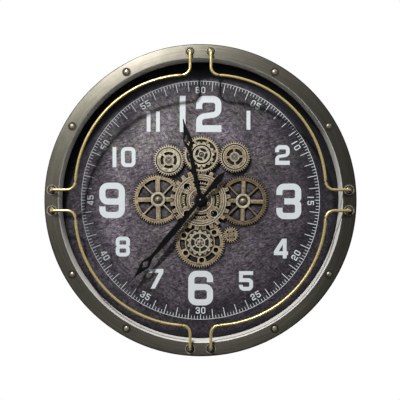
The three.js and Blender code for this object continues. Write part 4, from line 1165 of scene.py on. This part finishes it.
def bend(before, corner, after, radius):
    """The points of a round bend between two straight runs."""
    into = (corner - before).normalized()
    out = (after - corner).normalized()
    turn = into.angle(out)
    centre = corner + (out - into).normalized() * (radius / math.cos(turn / 2))
    start = corner - into * (radius * math.tan(turn / 2))
    axis = into.cross(out).normalized()
    steps = 9
    return [centre + Matrix.Rotation(turn * i / steps, 3, axis) @ (start - centre) for i in range(steps + 1)]


def rod_line():
    """A quarter's rod in millimetres from the ring's centre: x, depth and z."""
    foot_along, foot_aside, foot_bend = 284.9, 19.8, 6.0
    arc_radius, arc_inset, arc_margin, arc_bend = 215.3, 52.0, math.radians(3.4), 16.0
    rise, depth = 12.0, 6.0
    plane = -(FACE_LEVEL + rise)
    tail = -(FACE_LEVEL - SHEET - depth)
    centre = (RING_RADIUS - arc_inset - arc_radius) / math.sqrt(2)
    below = foot_aside - centre
    meet = centre + math.sqrt(arc_radius ** 2 - below ** 2)
    start = math.atan2(below, meet - centre) + arc_margin
    wide = [Vector((centre + x, plane, centre + z)) for x, z in arc(arc_radius, start, QUARTER - start, 56)]
    foot = Vector((foot_along, tail, foot_aside))
    first = Vector((foot_along, plane, foot_aside))
    corner = Vector((meet, plane, foot_aside))
    half = [foot] + bend(foot, first, corner, foot_bend) + bend(first, corner, wide[0], arc_bend)
    mirror = [Vector((point.z, point.y, point.x)) for point in reversed(half)]
    return half + wide + mirror


class CLOCK_OT_rods(bpy.types.Operator):
    """Bends one guard rod and copies it round the ring"""

    bl_idname = "clock.rods"
    bl_label = "Guard rods"

    def execute(self, context):
        deselect()
        bpy.ops.curve.primitive_bezier_curve_add(location=(0, 0, 0))
        curve = bpy.context.object.data
        curve.splines.clear()
        curve.dimensions = "3D"
        curve.bevel_depth = context.scene.clock_ring.rod_radius * MM
        curve.bevel_resolution = 4
        curve.use_fill_caps = True
        trace(curve, [point * MM for point in rod_line()])
        bpy.ops.object.convert(target="MESH")
        first = bpy.context.object
        clean(first)
        smooth(first, 50.0)
        move = Matrix.Translation((CENTRE[0], DIAL_FACE, CENTRE[1]))
        rods = {name: copied(first, name, move @ Matrix.Rotation(-QUARTER * i, 4, "Y"))
                for i, name in enumerate(("upper_left", "lower_left", "lower_right"), start=1)}
        first.data.transform(move)
        rods["upper_right"] = first
        for name, piece in rods.items():
            fit(piece, f"guard_rod_{name}", "clock", "Satin rod brass", [f"guard_wire_{name}"])
        return {"FINISHED"}


def bearing(here, there):
    """The direction from one axis to another."""
    return math.atan2(AXES[there][1] - AXES[here][1], AXES[there][0] - AXES[here][0])


def mesh_turn(teeth, other_teeth, other_turn, towards):
    """The direction of a gear's first tooth, so that its teeth stand in its neighbour's gaps."""
    pitch = 2 * math.pi / teeth
    turn = towards + math.pi + (other_teeth * (towards - other_turn) - math.pi) / teeth
    return turn - pitch * round(turn / pitch)


def wheel(axis, loops, back, front, turn, edge, rises):
    """A flat wheel with the raised parts that stand on it, each given as loops and its front level."""
    parts = [plate(loops, back, front, AXES[axis], turn, edge)]
    parts += [plate(shape, back + 0.8, level, AXES[axis], turn, 1.4 * edge) for shape, level in rises]
    return joined(parts)


def trim(axis, name, body, metal, back, turn, edge, rises):
    """The raised parts of a wheel as a piece of their own, in a metal of their own."""
    parts = [plate(loops, back, front, AXES[axis], turn, edge) for loops, front in rises]
    fit(joined(parts), name, body, metal)


class CLOCK_OT_side_wheels(bpy.types.Operator):
    """Cuts the two large spoked wheels beside the centre"""

    bl_idname = "clock.side_wheels"
    bl_label = "Side wheels"

    def execute(self, context):
        edge = context.scene.clock_gears.edge
        windows = []
        for i in range(8):
            halves = (4.2, 1.3) if i % 2 == 0 else (1.3, 4.2)
            windows.append(window(14.2, 39.8, i * math.pi / 4, (i + 1) * math.pi / 4, *halves))
        loops = [fine_teeth(SIDE_TEETH), circle(9.6), *windows]
        bar = [(15.2, -2.7), (39.2, -2.7), (39.2, 2.7), (15.2, 2.7)]
        bars = [(shifted([bar], 0.0, 0.0, QUARTER * i), 7.0) for i in range(4)]
        for side, metal in (("left", "Golden brass"), ("right", "Brown brass")):
            body = f"{side}_wheel"
            turn = mesh_turn(SIDE_TEETH, MIDDLE_TEETH, 0.0, bearing("centre", side))
            piece = plate(loops, LOW_BACK, LOW_FRONT, AXES[side], turn, edge)
            fit(piece, f"{side}_gear_metal", body, metal, [f"{side}_gear"])
            trim(side, f"{side}_gear_collar", body, "Polished highlight brass", 4.5, turn, 0.7, [(band(14.6, 10.0, 64), 7.8)])
            trim(side, f"{side}_gear_bars", body, "Golden brass", 4.5, turn, 0.9, bars)
            hub = [(band(4.9, PIN_BORE, 40, 32), 5.8)]
            # Painted shade: the well inside the collar is dark brown.
            floor = wheel(side, band(10.2, PIN_BORE, 64, 32), LOW_BACK, 4.6, turn, 0.1, hub)
            fit(floor, f"{side}_gear_well", body, "Shade brown brass")
        return {"FINISHED"}


class CLOCK_OT_centre_gears(bpy.types.Operator):
    """Cuts the coarse face wheel, the fine wheel behind it and the dish on its hub"""

    bl_idname = "clock.centre_gears"
    bl_label = "Centre gears"

    def execute(self, context):
        edge = context.scene.clock_gears.edge
        body = "centre_train"
        bore = circle(BUSH_BORE, 40)
        pitch = COARSE_MODULE * FACE_TEETH / 2
        teeth = toothed(FACE_TEETH, pitch - 0.92 * COARSE_MODULE, pitch + 0.85 * COARSE_MODULE, 0.6, 0.42, FACE_TURN)
        around = (4, 37.3, math.pi / 4, 40)
        loops = [teeth, bore, *slots(4, 27.6, 39.6, math.radians(24.0)), *holes(6.8, *around)]
        piece = plate(loops, COARSE_BACK, COARSE_FRONT, CENTRE_AXIS, 0.0, edge)
        fit(piece, "face_gear_metal", body, "Golden brass", ["centre_face_gear"])
        rises = [(band(50.6, 48.8, 120), 11.0), (band(46.4, 44.6, 120), 11.0)]
        rises += [(lip, 10.5) for lip in lips(8.3, 6.8, *around)]
        trim("centre", "face_gear_lips", body, "Polished highlight brass", 8.5, 0.0, 0.3, rises)
        # The fine wheel's disc, seen through the face wheel's windows, is near black as painted shade.
        loops = [circle(32.6, 96), bore, *spoked(4, 14.0, MIDDLE_RIM, 8.4, math.pi / 4)]
        piece = wheel("centre", loops, LOW_BACK, 5.6, 0.0, edge, [(band(12.0, BUSH_BORE, 64, 40), COARSE_BACK)])
        fit(piece, "centre_fine_gear_metal", body, "Shade black brass", ["centre_fine_gear"])
        # The teeth are given the light brass to make up for the face wheel's shade over them: painted light.
        teeth = plate([fine_teeth(MIDDLE_TEETH), circle(32.2, 96)], LOW_BACK, LOW_FRONT, CENTRE_AXIS, edge=0.15)
        fit(teeth, "centre_fine_gear_teeth", body, "Light brass")
        around = (8, 17.0, math.pi / 8)
        floor = plate([circle(24.0, 96), bore, *holes(2.0, *around, 18)], COARSE_FRONT, 10.8, CENTRE_AXIS, edge=0.15)
        fit(floor, "hub_dish_floor", body, "Brown brass", ["centre_hub_dish"])
        # Painted shade: the dish's holes and the ring round the bore are near black.
        sunk = [plate([hole], COARSE_FRONT, 10.2, CENTRE_AXIS, edge=0.02) for hole in holes(2.2, *around, 18)]
        sunk.append(plate(band(13.5, BUSH_BORE, 64, 40), 10.4, 10.95, CENTRE_AXIS, edge=0.05))
        fit(joined(sunk), "hub_dish_dark", body, "Shade black brass")
        rises = [(band(23.4, 21.2, 96), 11.6)] + [(lip, 11.2) for lip in lips(2.9, 2.0, *around, 22)]
        trim("centre", "hub_dish_rim", body, "Polished highlight brass", 10.4, 0.0, 0.25, rises)
        return {"FINISHED"}


class CLOCK_OT_top_gears(bpy.types.Operator):
    """Cuts the coarse wheel, the fine wheel and the star pinion above the centre"""

    bl_idname = "clock.top_gears"
    bl_label = "Top gears"

    def execute(self, context):
        edge = context.scene.clock_gears.edge
        body = "top_train"
        bore = circle(PIN_BORE, 32)
        pitch = COARSE_MODULE * TOP_TEETH / 2
        root = pitch - 0.98 * COARSE_MODULE
        turn = mesh_turn(TOP_TEETH, FACE_TEETH, FACE_TURN, bearing("centre", "top"))
        loops = [toothed(TOP_TEETH, root, pitch + 0.5 * COARSE_MODULE, 0.46, 0.2), bore]
        loops += spoked(4, 12.0, root - 5.0, 8.4)
        hub = [(band(11.0, PIN_BORE, 64, 32), TOP_BACK)]
        # The coarse wheel, seen through the fine wheel's windows, is near black as painted shade.
        piece = wheel("top", loops, COARSE_BACK, COARSE_FRONT, turn, edge, hub)
        fit(piece, "top_coarse_gear_metal", body, "Shade black brass", ["top_coarse_gear"])
        loops = [fine_teeth(MIDDLE_TEETH), bore, *spoked(7, STAR_ROOT, MIDDLE_RIM, 4.0, QUARTER / 7)]
        piece = wheel("top", loops, TOP_BACK, TOP_FRONT, 0.0, edge, [(band(32.2, 30.9, 120), 13.4)])
        fit(piece, "top_fine_gear_metal", body, "Golden brass", ["top_fine_gear"])
        piece = plate([star_teeth(), circle(19.6, 80)], TOP_FRONT, 15.0, AXES["top"], 0.0, edge)
        fit(piece, "top_pinion_metal", body, "Light brass", ["top_pinion"])
        # Painted shade: a near-black floor under the star pinion.
        floor = plate(band(20.0, PIN_BORE, 80, 32), 12.6, 13.5, AXES["top"], 0.0, 0.05)
        fit(floor, "top_pinion_floor", body, "Shade black brass")
        spokes = spoked(4, 6.8, 12.2, 3.6, math.radians(22.0))
        rises = [([*band(13.4, 4.9, 80, 32), *spokes], 14.9), (band(16.6, 12.6, 80), 16.5)]
        rises.append((band(6.7, 4.9, 40), 15.9))
        trim("top", "top_pinion_lip", body, "Polished highlight brass", TOP_FRONT, 0.0, 0.3, rises)
        return {"FINISHED"}


class CLOCK_OT_small_wheels(bpy.types.Operator):
    """Cuts the two small wheels beside the top one, each with a raised disc inside a groove"""

    bl_idname = "clock.small_wheels"
    bl_label = "Small wheels"

    def execute(self, context):
        edge = context.scene.clock_gears.edge
        looks = {"upper_left": (10.6, 0.0, "Light brass"), "upper_right": (9.8, math.pi / 4, "Golden brass")}
        for side, (inner, start, metal) in looks.items():
            body = f"{side}_wheel"
            turn = mesh_turn(SMALL_TEETH, MIDDLE_TEETH, 0.0, bearing("top", side))
            loops = [fine_teeth(SMALL_TEETH), circle(25.0, 96)]
            rim = wheel(side, loops, TOP_BACK, TOP_FRONT, turn, edge, [(band(26.4, 25.2, 96), 13.5)])
            loops = [*band(23.0, PIN_BORE, 96, 32), *slots(4, inner, 16.4, math.radians(37.0), start)]
            disc = plate(loops, 11.0, 15.0, AXES[side], turn, 1.4 * edge)
            fit(joined([rim, disc]), f"{side}_gear_metal", body, metal, [f"{side}_gear"])
            # Painted shade: a near-black floor behind the teeth and the groove.
            floor = plate(band(26.0, PIN_BORE, 96, 32), TOP_BACK, 11.3, AXES[side], turn, 0.05)
            fit(floor, f"{side}_gear_floor", body, "Shade black brass")
            rises = [(band(8.8, 7.0, 48), 15.7), (band(23.0, 21.6, 96), 15.4)]
            trim(side, f"{side}_gear_rings", body, "Polished highlight brass", 14.0, turn, 0.25, rises)
        return {"FINISHED"}


class CLOCK_OT_lower_gears(bpy.types.Operator):
    """Cuts the wheel below the centre, with the star pinion on it"""

    bl_idname = "clock.lower_gears"
    bl_label = "Lower gears"

    def execute(self, context):
        edge = context.scene.clock_gears.edge
        body = "lower_wheel"
        bore = circle(PIN_BORE, 32)
        turn = mesh_turn(SIDE_TEETH, MIDDLE_TEETH, 0.0, bearing("centre", "lower"))
        start = math.radians(33.0)
        around = (6, 34.5, start, 36)
        loops = [fine_teeth(SIDE_TEETH), bore, *holes(5.0, *around)]
        loops += slots(6, 29.4, 39.8, math.radians(16.0), start + math.pi / 6)
        rises = [(lip, 6.5) for lip in lips(6.2, 5.0, *around)]
        piece = wheel("lower", loops, LOW_BACK, LOW_FRONT, turn, edge, rises)
        fit(piece, "lower_gear_metal", body, "Golden brass", ["lower_gear"])
        # Painted shade: a near-black seat under the star pinion.
        seat = plate(band(27.2, PIN_BORE, 96, 32), 5.4, 6.1, AXES["lower"], edge=0.04)
        fit(seat, "lower_gear_seat", body, "Shade black brass")
        loops = [star_teeth(), bore, *spoked(6, 10.4, 17.8, 2.4), *spoked(6, 4.8, 8.0, 1.6)]
        piece = plate(loops, LOW_FRONT, 7.2, AXES["lower"], QUARTER, 0.18)
        fit(piece, "lower_pinion_metal", body, "Light brass", ["lower_pinion"])
        rises = [(band(STAR_ROOT, 18.4, 80), 8.2), (band(10.4, 8.2, 64), 7.8)]
        trim("lower", "lower_pinion_lips", body, "Polished highlight brass", 6.8, QUARTER, 0.25, rises)
        return {"FINISHED"}


class CLOCK_OT_drive_gear(bpy.types.Operator):
    """Cuts the small driven wheel and its slotted screw"""

    bl_idname = "clock.drive_gear"
    bl_label = "Drive gear"

    def execute(self, context):
        lower = mesh_turn(SIDE_TEETH, MIDDLE_TEETH, 0.0, bearing("centre", "lower"))
        turn = mesh_turn(DRIVE_TEETH, SIDE_TEETH, lower, bearing("lower", "drive"))
        loops = [fine_teeth(DRIVE_TEETH), *holes(2.1, 4, 8.3, math.pi / 4, 20)]
        piece = plate(loops, LOW_BACK, LOW_FRONT, AXES["drive"], turn, context.scene.clock_gears.edge)
        shaft = spun([(0.0, -7.5), (3.0, -7.5), (3.0, 4.0), (0.0, 4.0)], AXES["drive"], 32)
        fit(joined([piece, shaft]), "drive_gear_metal", "drive_wheel", "Golden brass", ["drive_gear"])
        dress("drive_screw", "Olive brass")
        return {"FINISHED"}


def stud_profile(back, front, head_radius):
    """A riveted pin: tail, foot, post and domed head, for what turns on it from back to front."""
    foot = back - 0.3
    head = front + 0.3
    profile = [(0.0, -3.5), (2.6, -3.5), (3.0, -3.1), (3.0, 0.0), (6.7, 0.0), (7.0, 0.3)]
    profile += [(7.0, foot - 0.3), (6.7, foot), (3.0, foot), (3.0, head), (head_radius - 0.2, head)]
    profile.append((head_radius, head + 0.2))
    profile += [(head_radius * x, head + 0.5 + 1.3 * z) for x, z in arc(1.0, 0.0, QUARTER, 7)[:-1]]
    profile.append((0.0, head + 1.8))
    return profile


class CLOCK_OT_studs(bpy.types.Operator):
    """Turns the pins that the wheels run on, the centre bush and the hour tube, and cuts the bush's nut"""

    bl_idname = "clock.studs"
    bl_label = "Studs and bush"

    def execute(self, context):
        side = (LOW_BACK, LOW_FRONT, 4.4)
        corner = (TOP_BACK, 15.0, 2.2)
        sizes = {"left": side, "right": side, "lower": (LOW_BACK, 7.2, 3.4), "top": (COARSE_BACK, 15.0, 3.2)}
        sizes.update(upper_left=corner, upper_right=corner)
        for name, size in sizes.items():
            piece = spun(stud_profile(*size), AXES[name], 40, 40.0)
            if name.startswith("upper"):
                loops = [circle(6.3, 48), *spoked(4, 2.5, 5.0, 1.5, math.pi / 4)]
                petals = plate(loops, 15.4, 16.7, AXES[name], edge=0.25)
                back = plate([circle(5.9, 48)], 15.3, 15.7, AXES[name], edge=0.05)
                piece = joined([piece, petals, back])
            fit(piece, f"{name}_stud_metal", "clock", "Worn studs", [f"{name}_stud"])
        profile = [(3.2, -7.5), (5.0, -7.5), (5.0, 0.0), (8.7, 0.0), (9.0, 0.3), (9.0, 2.9), (8.7, 3.2)]
        profile += [(5.0, 3.2), (5.0, 13.4), (4.7, 13.7), (3.2, 13.7), (3.2, -7.5)]
        fit(spun(profile, CENTRE_AXIS, 48), "centre_bush_metal", "clock", "Turned steel", ["centre_bush"])
        nut = plate([circle(7.6, 6, start=math.pi / 6), circle(5.1, 40)], 11.9, 13.7, CENTRE_AXIS, edge=0.3)
        fit(nut, "bush_nut_metal", "clock", "Turned steel", ["bush_nut"])
        profile = [(2.0, -6.5), (2.9, -6.5), (2.9, 20.4), (2.7, 20.6), (2.0, 20.6), (2.0, -6.5)]
        fit(spun(profile, CENTRE_AXIS, 40), "hour_tube_metal", "hour", "Turned steel", ["hour_tube"])
        return {"FINISHED"}


def mirrored(points):
    return [(-x, z) for x, z in reversed(points)]


def hand_loop(length, widths, tail=0.0, tail_widths=()):
    """A hand pointing up: its edge, its point, the other edge, and round the hub past any tail."""
    hub = 10.2
    edge = [(half, length - back) for back, half in widths]
    low = [(-half, -along) for along, half in tail_widths]
    shoulder = math.asin(edge[0][0] / hub)
    neck = math.asin(-low[0][0] / hub) if low else 0.0
    left = arc(hub, QUARTER + shoulder, 3 * QUARTER - neck, 24)
    loop = edge + [(0.0, length)] + mirrored(edge) + left + low
    loop += ([(0.0, -tail)] if low else []) + mirrored(low) + mirrored(left)
    return [point for i, point in enumerate(loop) if math.dist(point, loop[(i + 1) % len(loop)]) > 0.1]


def diamond(centre, reach, half):
    return [(0.0, centre - reach), (half, centre), (0.0, centre + reach), (-half, centre)]


class CLOCK_OT_hands(bpy.types.Operator):
    """Cuts the two hands, and turns the nut that holds them"""

    bl_idname = "clock.hands"
    bl_label = "Hands"

    def execute(self, context):
        angles = context.scene.clock_hands
        length = 164.0
        widths = [(155.8, 3.2), (100, 4.4), (76, 3.2), (64, 3.4), (44, 9.3), (25.5, 4.5), (12, 1.9), (4, 1.0)]
        loops = [hand_loop(length, widths), diamond(length - 44.0, 11.0, 6.4)]
        loops += [circle(1.4, 20, (0.0, length - 59.5)), circle(3.0, 40)]
        piece = plate(loops, 19.0, 20.0, CENTRE_AXIS, -angles.hour_angle, 0.25)
        fit(piece, "hour_hand_blade", "hour", "Black lacquer", ["hour_hand"])
        length = 222.0
        widths = [(209, 3.4), (156, 5.8), (120, 6), (83, 3.2), (75.5, 3.5), (57.5, 9.2), (34, 2.9), (24, 0.9)]
        outline = hand_loop(length, widths, 75.0, [(14, 3.2), (54, 6.4), (60, 5.6)])
        loops = [outline, diamond(length - 57.5, 9.2, 5.6), circle(1.8, 32)]
        piece = plate(loops, 22.5, 23.5, CENTRE_AXIS, -angles.minute_angle, 0.25)
        fit(piece, "minute_hand_blade", "minute", "Black lacquer", ["minute_hand"])
        nut = [(0.0, 25.6), (1.8, 25.6), (1.8, 23.5), (3.0, 23.5), (3.2, 23.7), (3.2, 25.1)]
        nut += [(2.9, 25.7), (2.2, 26.2), (1.2, 26.45), (0.0, 26.5)]
        fit(spun(nut, CENTRE_AXIS, 36, 40.0), "hand_nut_metal", "minute", "Dark steel", ["hand_nut"])
        dress("minute_arbor", "Turned steel")
        return {"FINISHED"}


class CLOCK_OT_back(bpy.types.Operator):
    """Finishes what is fastened to the back: hanger, movement, motor, cells, knob and switch"""

    bl_idname = "clock.back"
    bl_label = "Back"

    def execute(self, context):
        dress("hanger_plate", "Zinc plate")
        dress("drive_switch", "White moulding")
        for node in ("movement_case", "drive_case", "set_knob"):
            dress(node, "Black moulding")
        for node in ("movement_battery", "drive_battery"):
            dress(node, "Cell sleeve")
        return {"FINISHED"}


def area_light(name, place, aim, size, power, colour):
    deselect()
    bpy.ops.object.light_add(type="AREA", location=place)
    lamp = bpy.context.object
    lamp.name = name
    lamp.data.shape = "DISK"
    lamp.data.size = size
    lamp.data.energy = power
    lamp.data.color = colour
    lamp.rotation_euler = (Vector(aim) - Vector(place)).to_track_quat("-Z", "Y").to_euler()
    return lamp


class CLOCK_OT_stage(bpy.types.Operator):
    """Sets up the white wall, the light and the camera"""

    bl_idname = "clock.stage"
    bl_label = "Stage"

    def execute(self, context):
        scene = context.scene
        studio = scene.clock_studio
        aim = Vector((CENTRE[0], -0.05, CENTRE[1]))
        distance, broad = 2.2, 0.9
        place = aim + Vector((-0.32, -1.0, 0.90)).normalized() * distance
        area_light("Key", place, aim, studio.key_size, studio.key_power, (1.0, 0.985, 0.96))
        place = aim + Vector((-0.46, -1.0, 0.62)).normalized() * distance
        soft = area_light("Soft", place, aim, broad, studio.soft_power, (1.0, 0.98, 0.95))
        soft.visible_diffuse = False
        area_light("Back", (-0.6, 2.2, 0.6), aim, broad, studio.back_power, (1.0, 0.99, 0.97))
        self.make_wall()
        self.make_room(scene, studio.room_level)
        self.make_camera(scene, studio.lens)
        scene.view_settings.view_transform = "Standard"
        return {"FINISHED"}

    def make_wall(self):
        """The wall glows for the camera and for what metal shows, and is matt paint for the rest."""
        deselect()
        bpy.ops.mesh.primitive_plane_add(size=6.0, location=(0.0, 0.0006, CENTRE[1]), rotation=(QUARTER, 0.0, 0.0))
        wall = bpy.context.object
        wall.name = "wall"
        material = bpy.data.materials.new("White wall")
        material.use_nodes = True
        material.node_tree.nodes.clear()
        nodes = Nodes(material.node_tree)
        path = nodes.add("LightPath").outputs
        seen = nodes.larger(path["Is Camera Ray"], path["Is Transmission Ray"])
        seen = nodes.larger(seen, path["Is Glossy Ray"])
        matt = nodes.add("BsdfDiffuse", {"Color": (0.82, 0.82, 0.82, 1.0)}).outputs[0]
        glow = nodes.add("Emission", {"Color": (1.0, 1.0, 1.0, 1.0), "Strength": 1.0}).outputs[0]
        front = nodes.add("MixShader", {0: seen, 1: matt, 2: glow}).outputs[0]
        behind = nodes.add("BsdfTransparent").outputs[0]
        facing = nodes.add("NewGeometry").outputs["Backfacing"]
        both = nodes.add("MixShader", {0: facing, 1: front, 2: behind}).outputs[0]
        nodes.add("OutputMaterial", {0: both})
        wall.data.materials.append(material)
        wall.visible_diffuse = False
        wall.visible_shadow = False

    def make_room(self, scene, level):
        """Light from all round, stronger from the upper left and from behind the wall."""
        world = bpy.data.worlds.new("Room")
        world.use_nodes = True
        world.node_tree.nodes.clear()
        nodes = Nodes(world.node_tree)
        towards = nodes.add("TexCoord").outputs["Generated"]
        front = nodes.times(nodes.spread(nodes.lean(towards, (-0.42, -0.1, 0.85)), -0.8, 0.9, 0.25, 1.9), level)
        strength = nodes.plus(front, nodes.spread(nodes.parts(towards)[1], 0.0, 0.5, 0.0, 0.75))
        even = nodes.add("Background", {"Color": (0.97, 0.98, 1.0, 1.0), "Strength": strength}).outputs[0]
        nodes.add("OutputWorld", {0: even})
        scene.world = world

    def make_camera(self, scene, lens):
        bpy.ops.object.camera_add(location=(CENTRE[0], -1.672, CENTRE[1]), rotation=(QUARTER, 0.0, 0.0))
        camera = bpy.context.object
        camera.data.lens = lens
        camera.data.sensor_width = 36.0
        camera.data.shift_x = -0.00125
        camera.data.shift_y = 0.0005
        scene.camera = camera


PIECES = [
    CLOCK_OT_finishes, CLOCK_OT_ring, CLOCK_OT_dial, CLOCK_OT_hour_numerals, CLOCK_OT_minute_numerals,
    CLOCK_OT_minute_scale, CLOCK_OT_rivets, CLOCK_OT_grommets, CLOCK_OT_rods, CLOCK_OT_side_wheels,
    CLOCK_OT_centre_gears, CLOCK_OT_top_gears, CLOCK_OT_small_wheels, CLOCK_OT_lower_gears,
    CLOCK_OT_drive_gear, CLOCK_OT_studs, CLOCK_OT_hands, CLOCK_OT_back, CLOCK_OT_stage,
]
GROUPS = {
    "clock_ring": ClockRing, "clock_dial": ClockDial, "clock_gears": ClockGears,
    "clock_hands": ClockHands, "clock_studio": ClockStudio,
}


class CLOCK_PT_pieces(bpy.types.Panel):
    """Lists the clock's pieces and sizes"""

    bl_label = "Gear wall clock"
    bl_idname = "CLOCK_PT_pieces"
    bl_space_type = "VIEW_3D"
    bl_region_type = "UI"
    bl_category = "Clock"

    def draw(self, context):
        for piece in PIECES:
            self.layout.operator(piece.bl_idname)
        for label, group in GROUPS.items():
            box = self.layout.box()
            settings = getattr(context.scene, label)
            for key in group.__annotations__:
                box.prop(settings, key)


def register():
    for label, group in GROUPS.items():
        bpy.utils.register_class(group)
        setattr(bpy.types.Scene, label, PointerProperty(type=group))
    for piece in PIECES:
        bpy.utils.register_class(piece)
    bpy.utils.register_class(CLOCK_PT_pieces)


def unregister():
    bpy.utils.unregister_class(CLOCK_PT_pieces)
    for piece in reversed(PIECES):
        bpy.utils.unregister_class(piece)
    for label, group in GROUPS.items():
        delattr(bpy.types.Scene, label)
        bpy.utils.unregister_class(group)


def main():
    register()
    for piece in PIECES:
        group, name = piece.bl_idname.split(".")
        getattr(getattr(bpy.ops, group), name)()


if __name__ == "__main__":
    main()
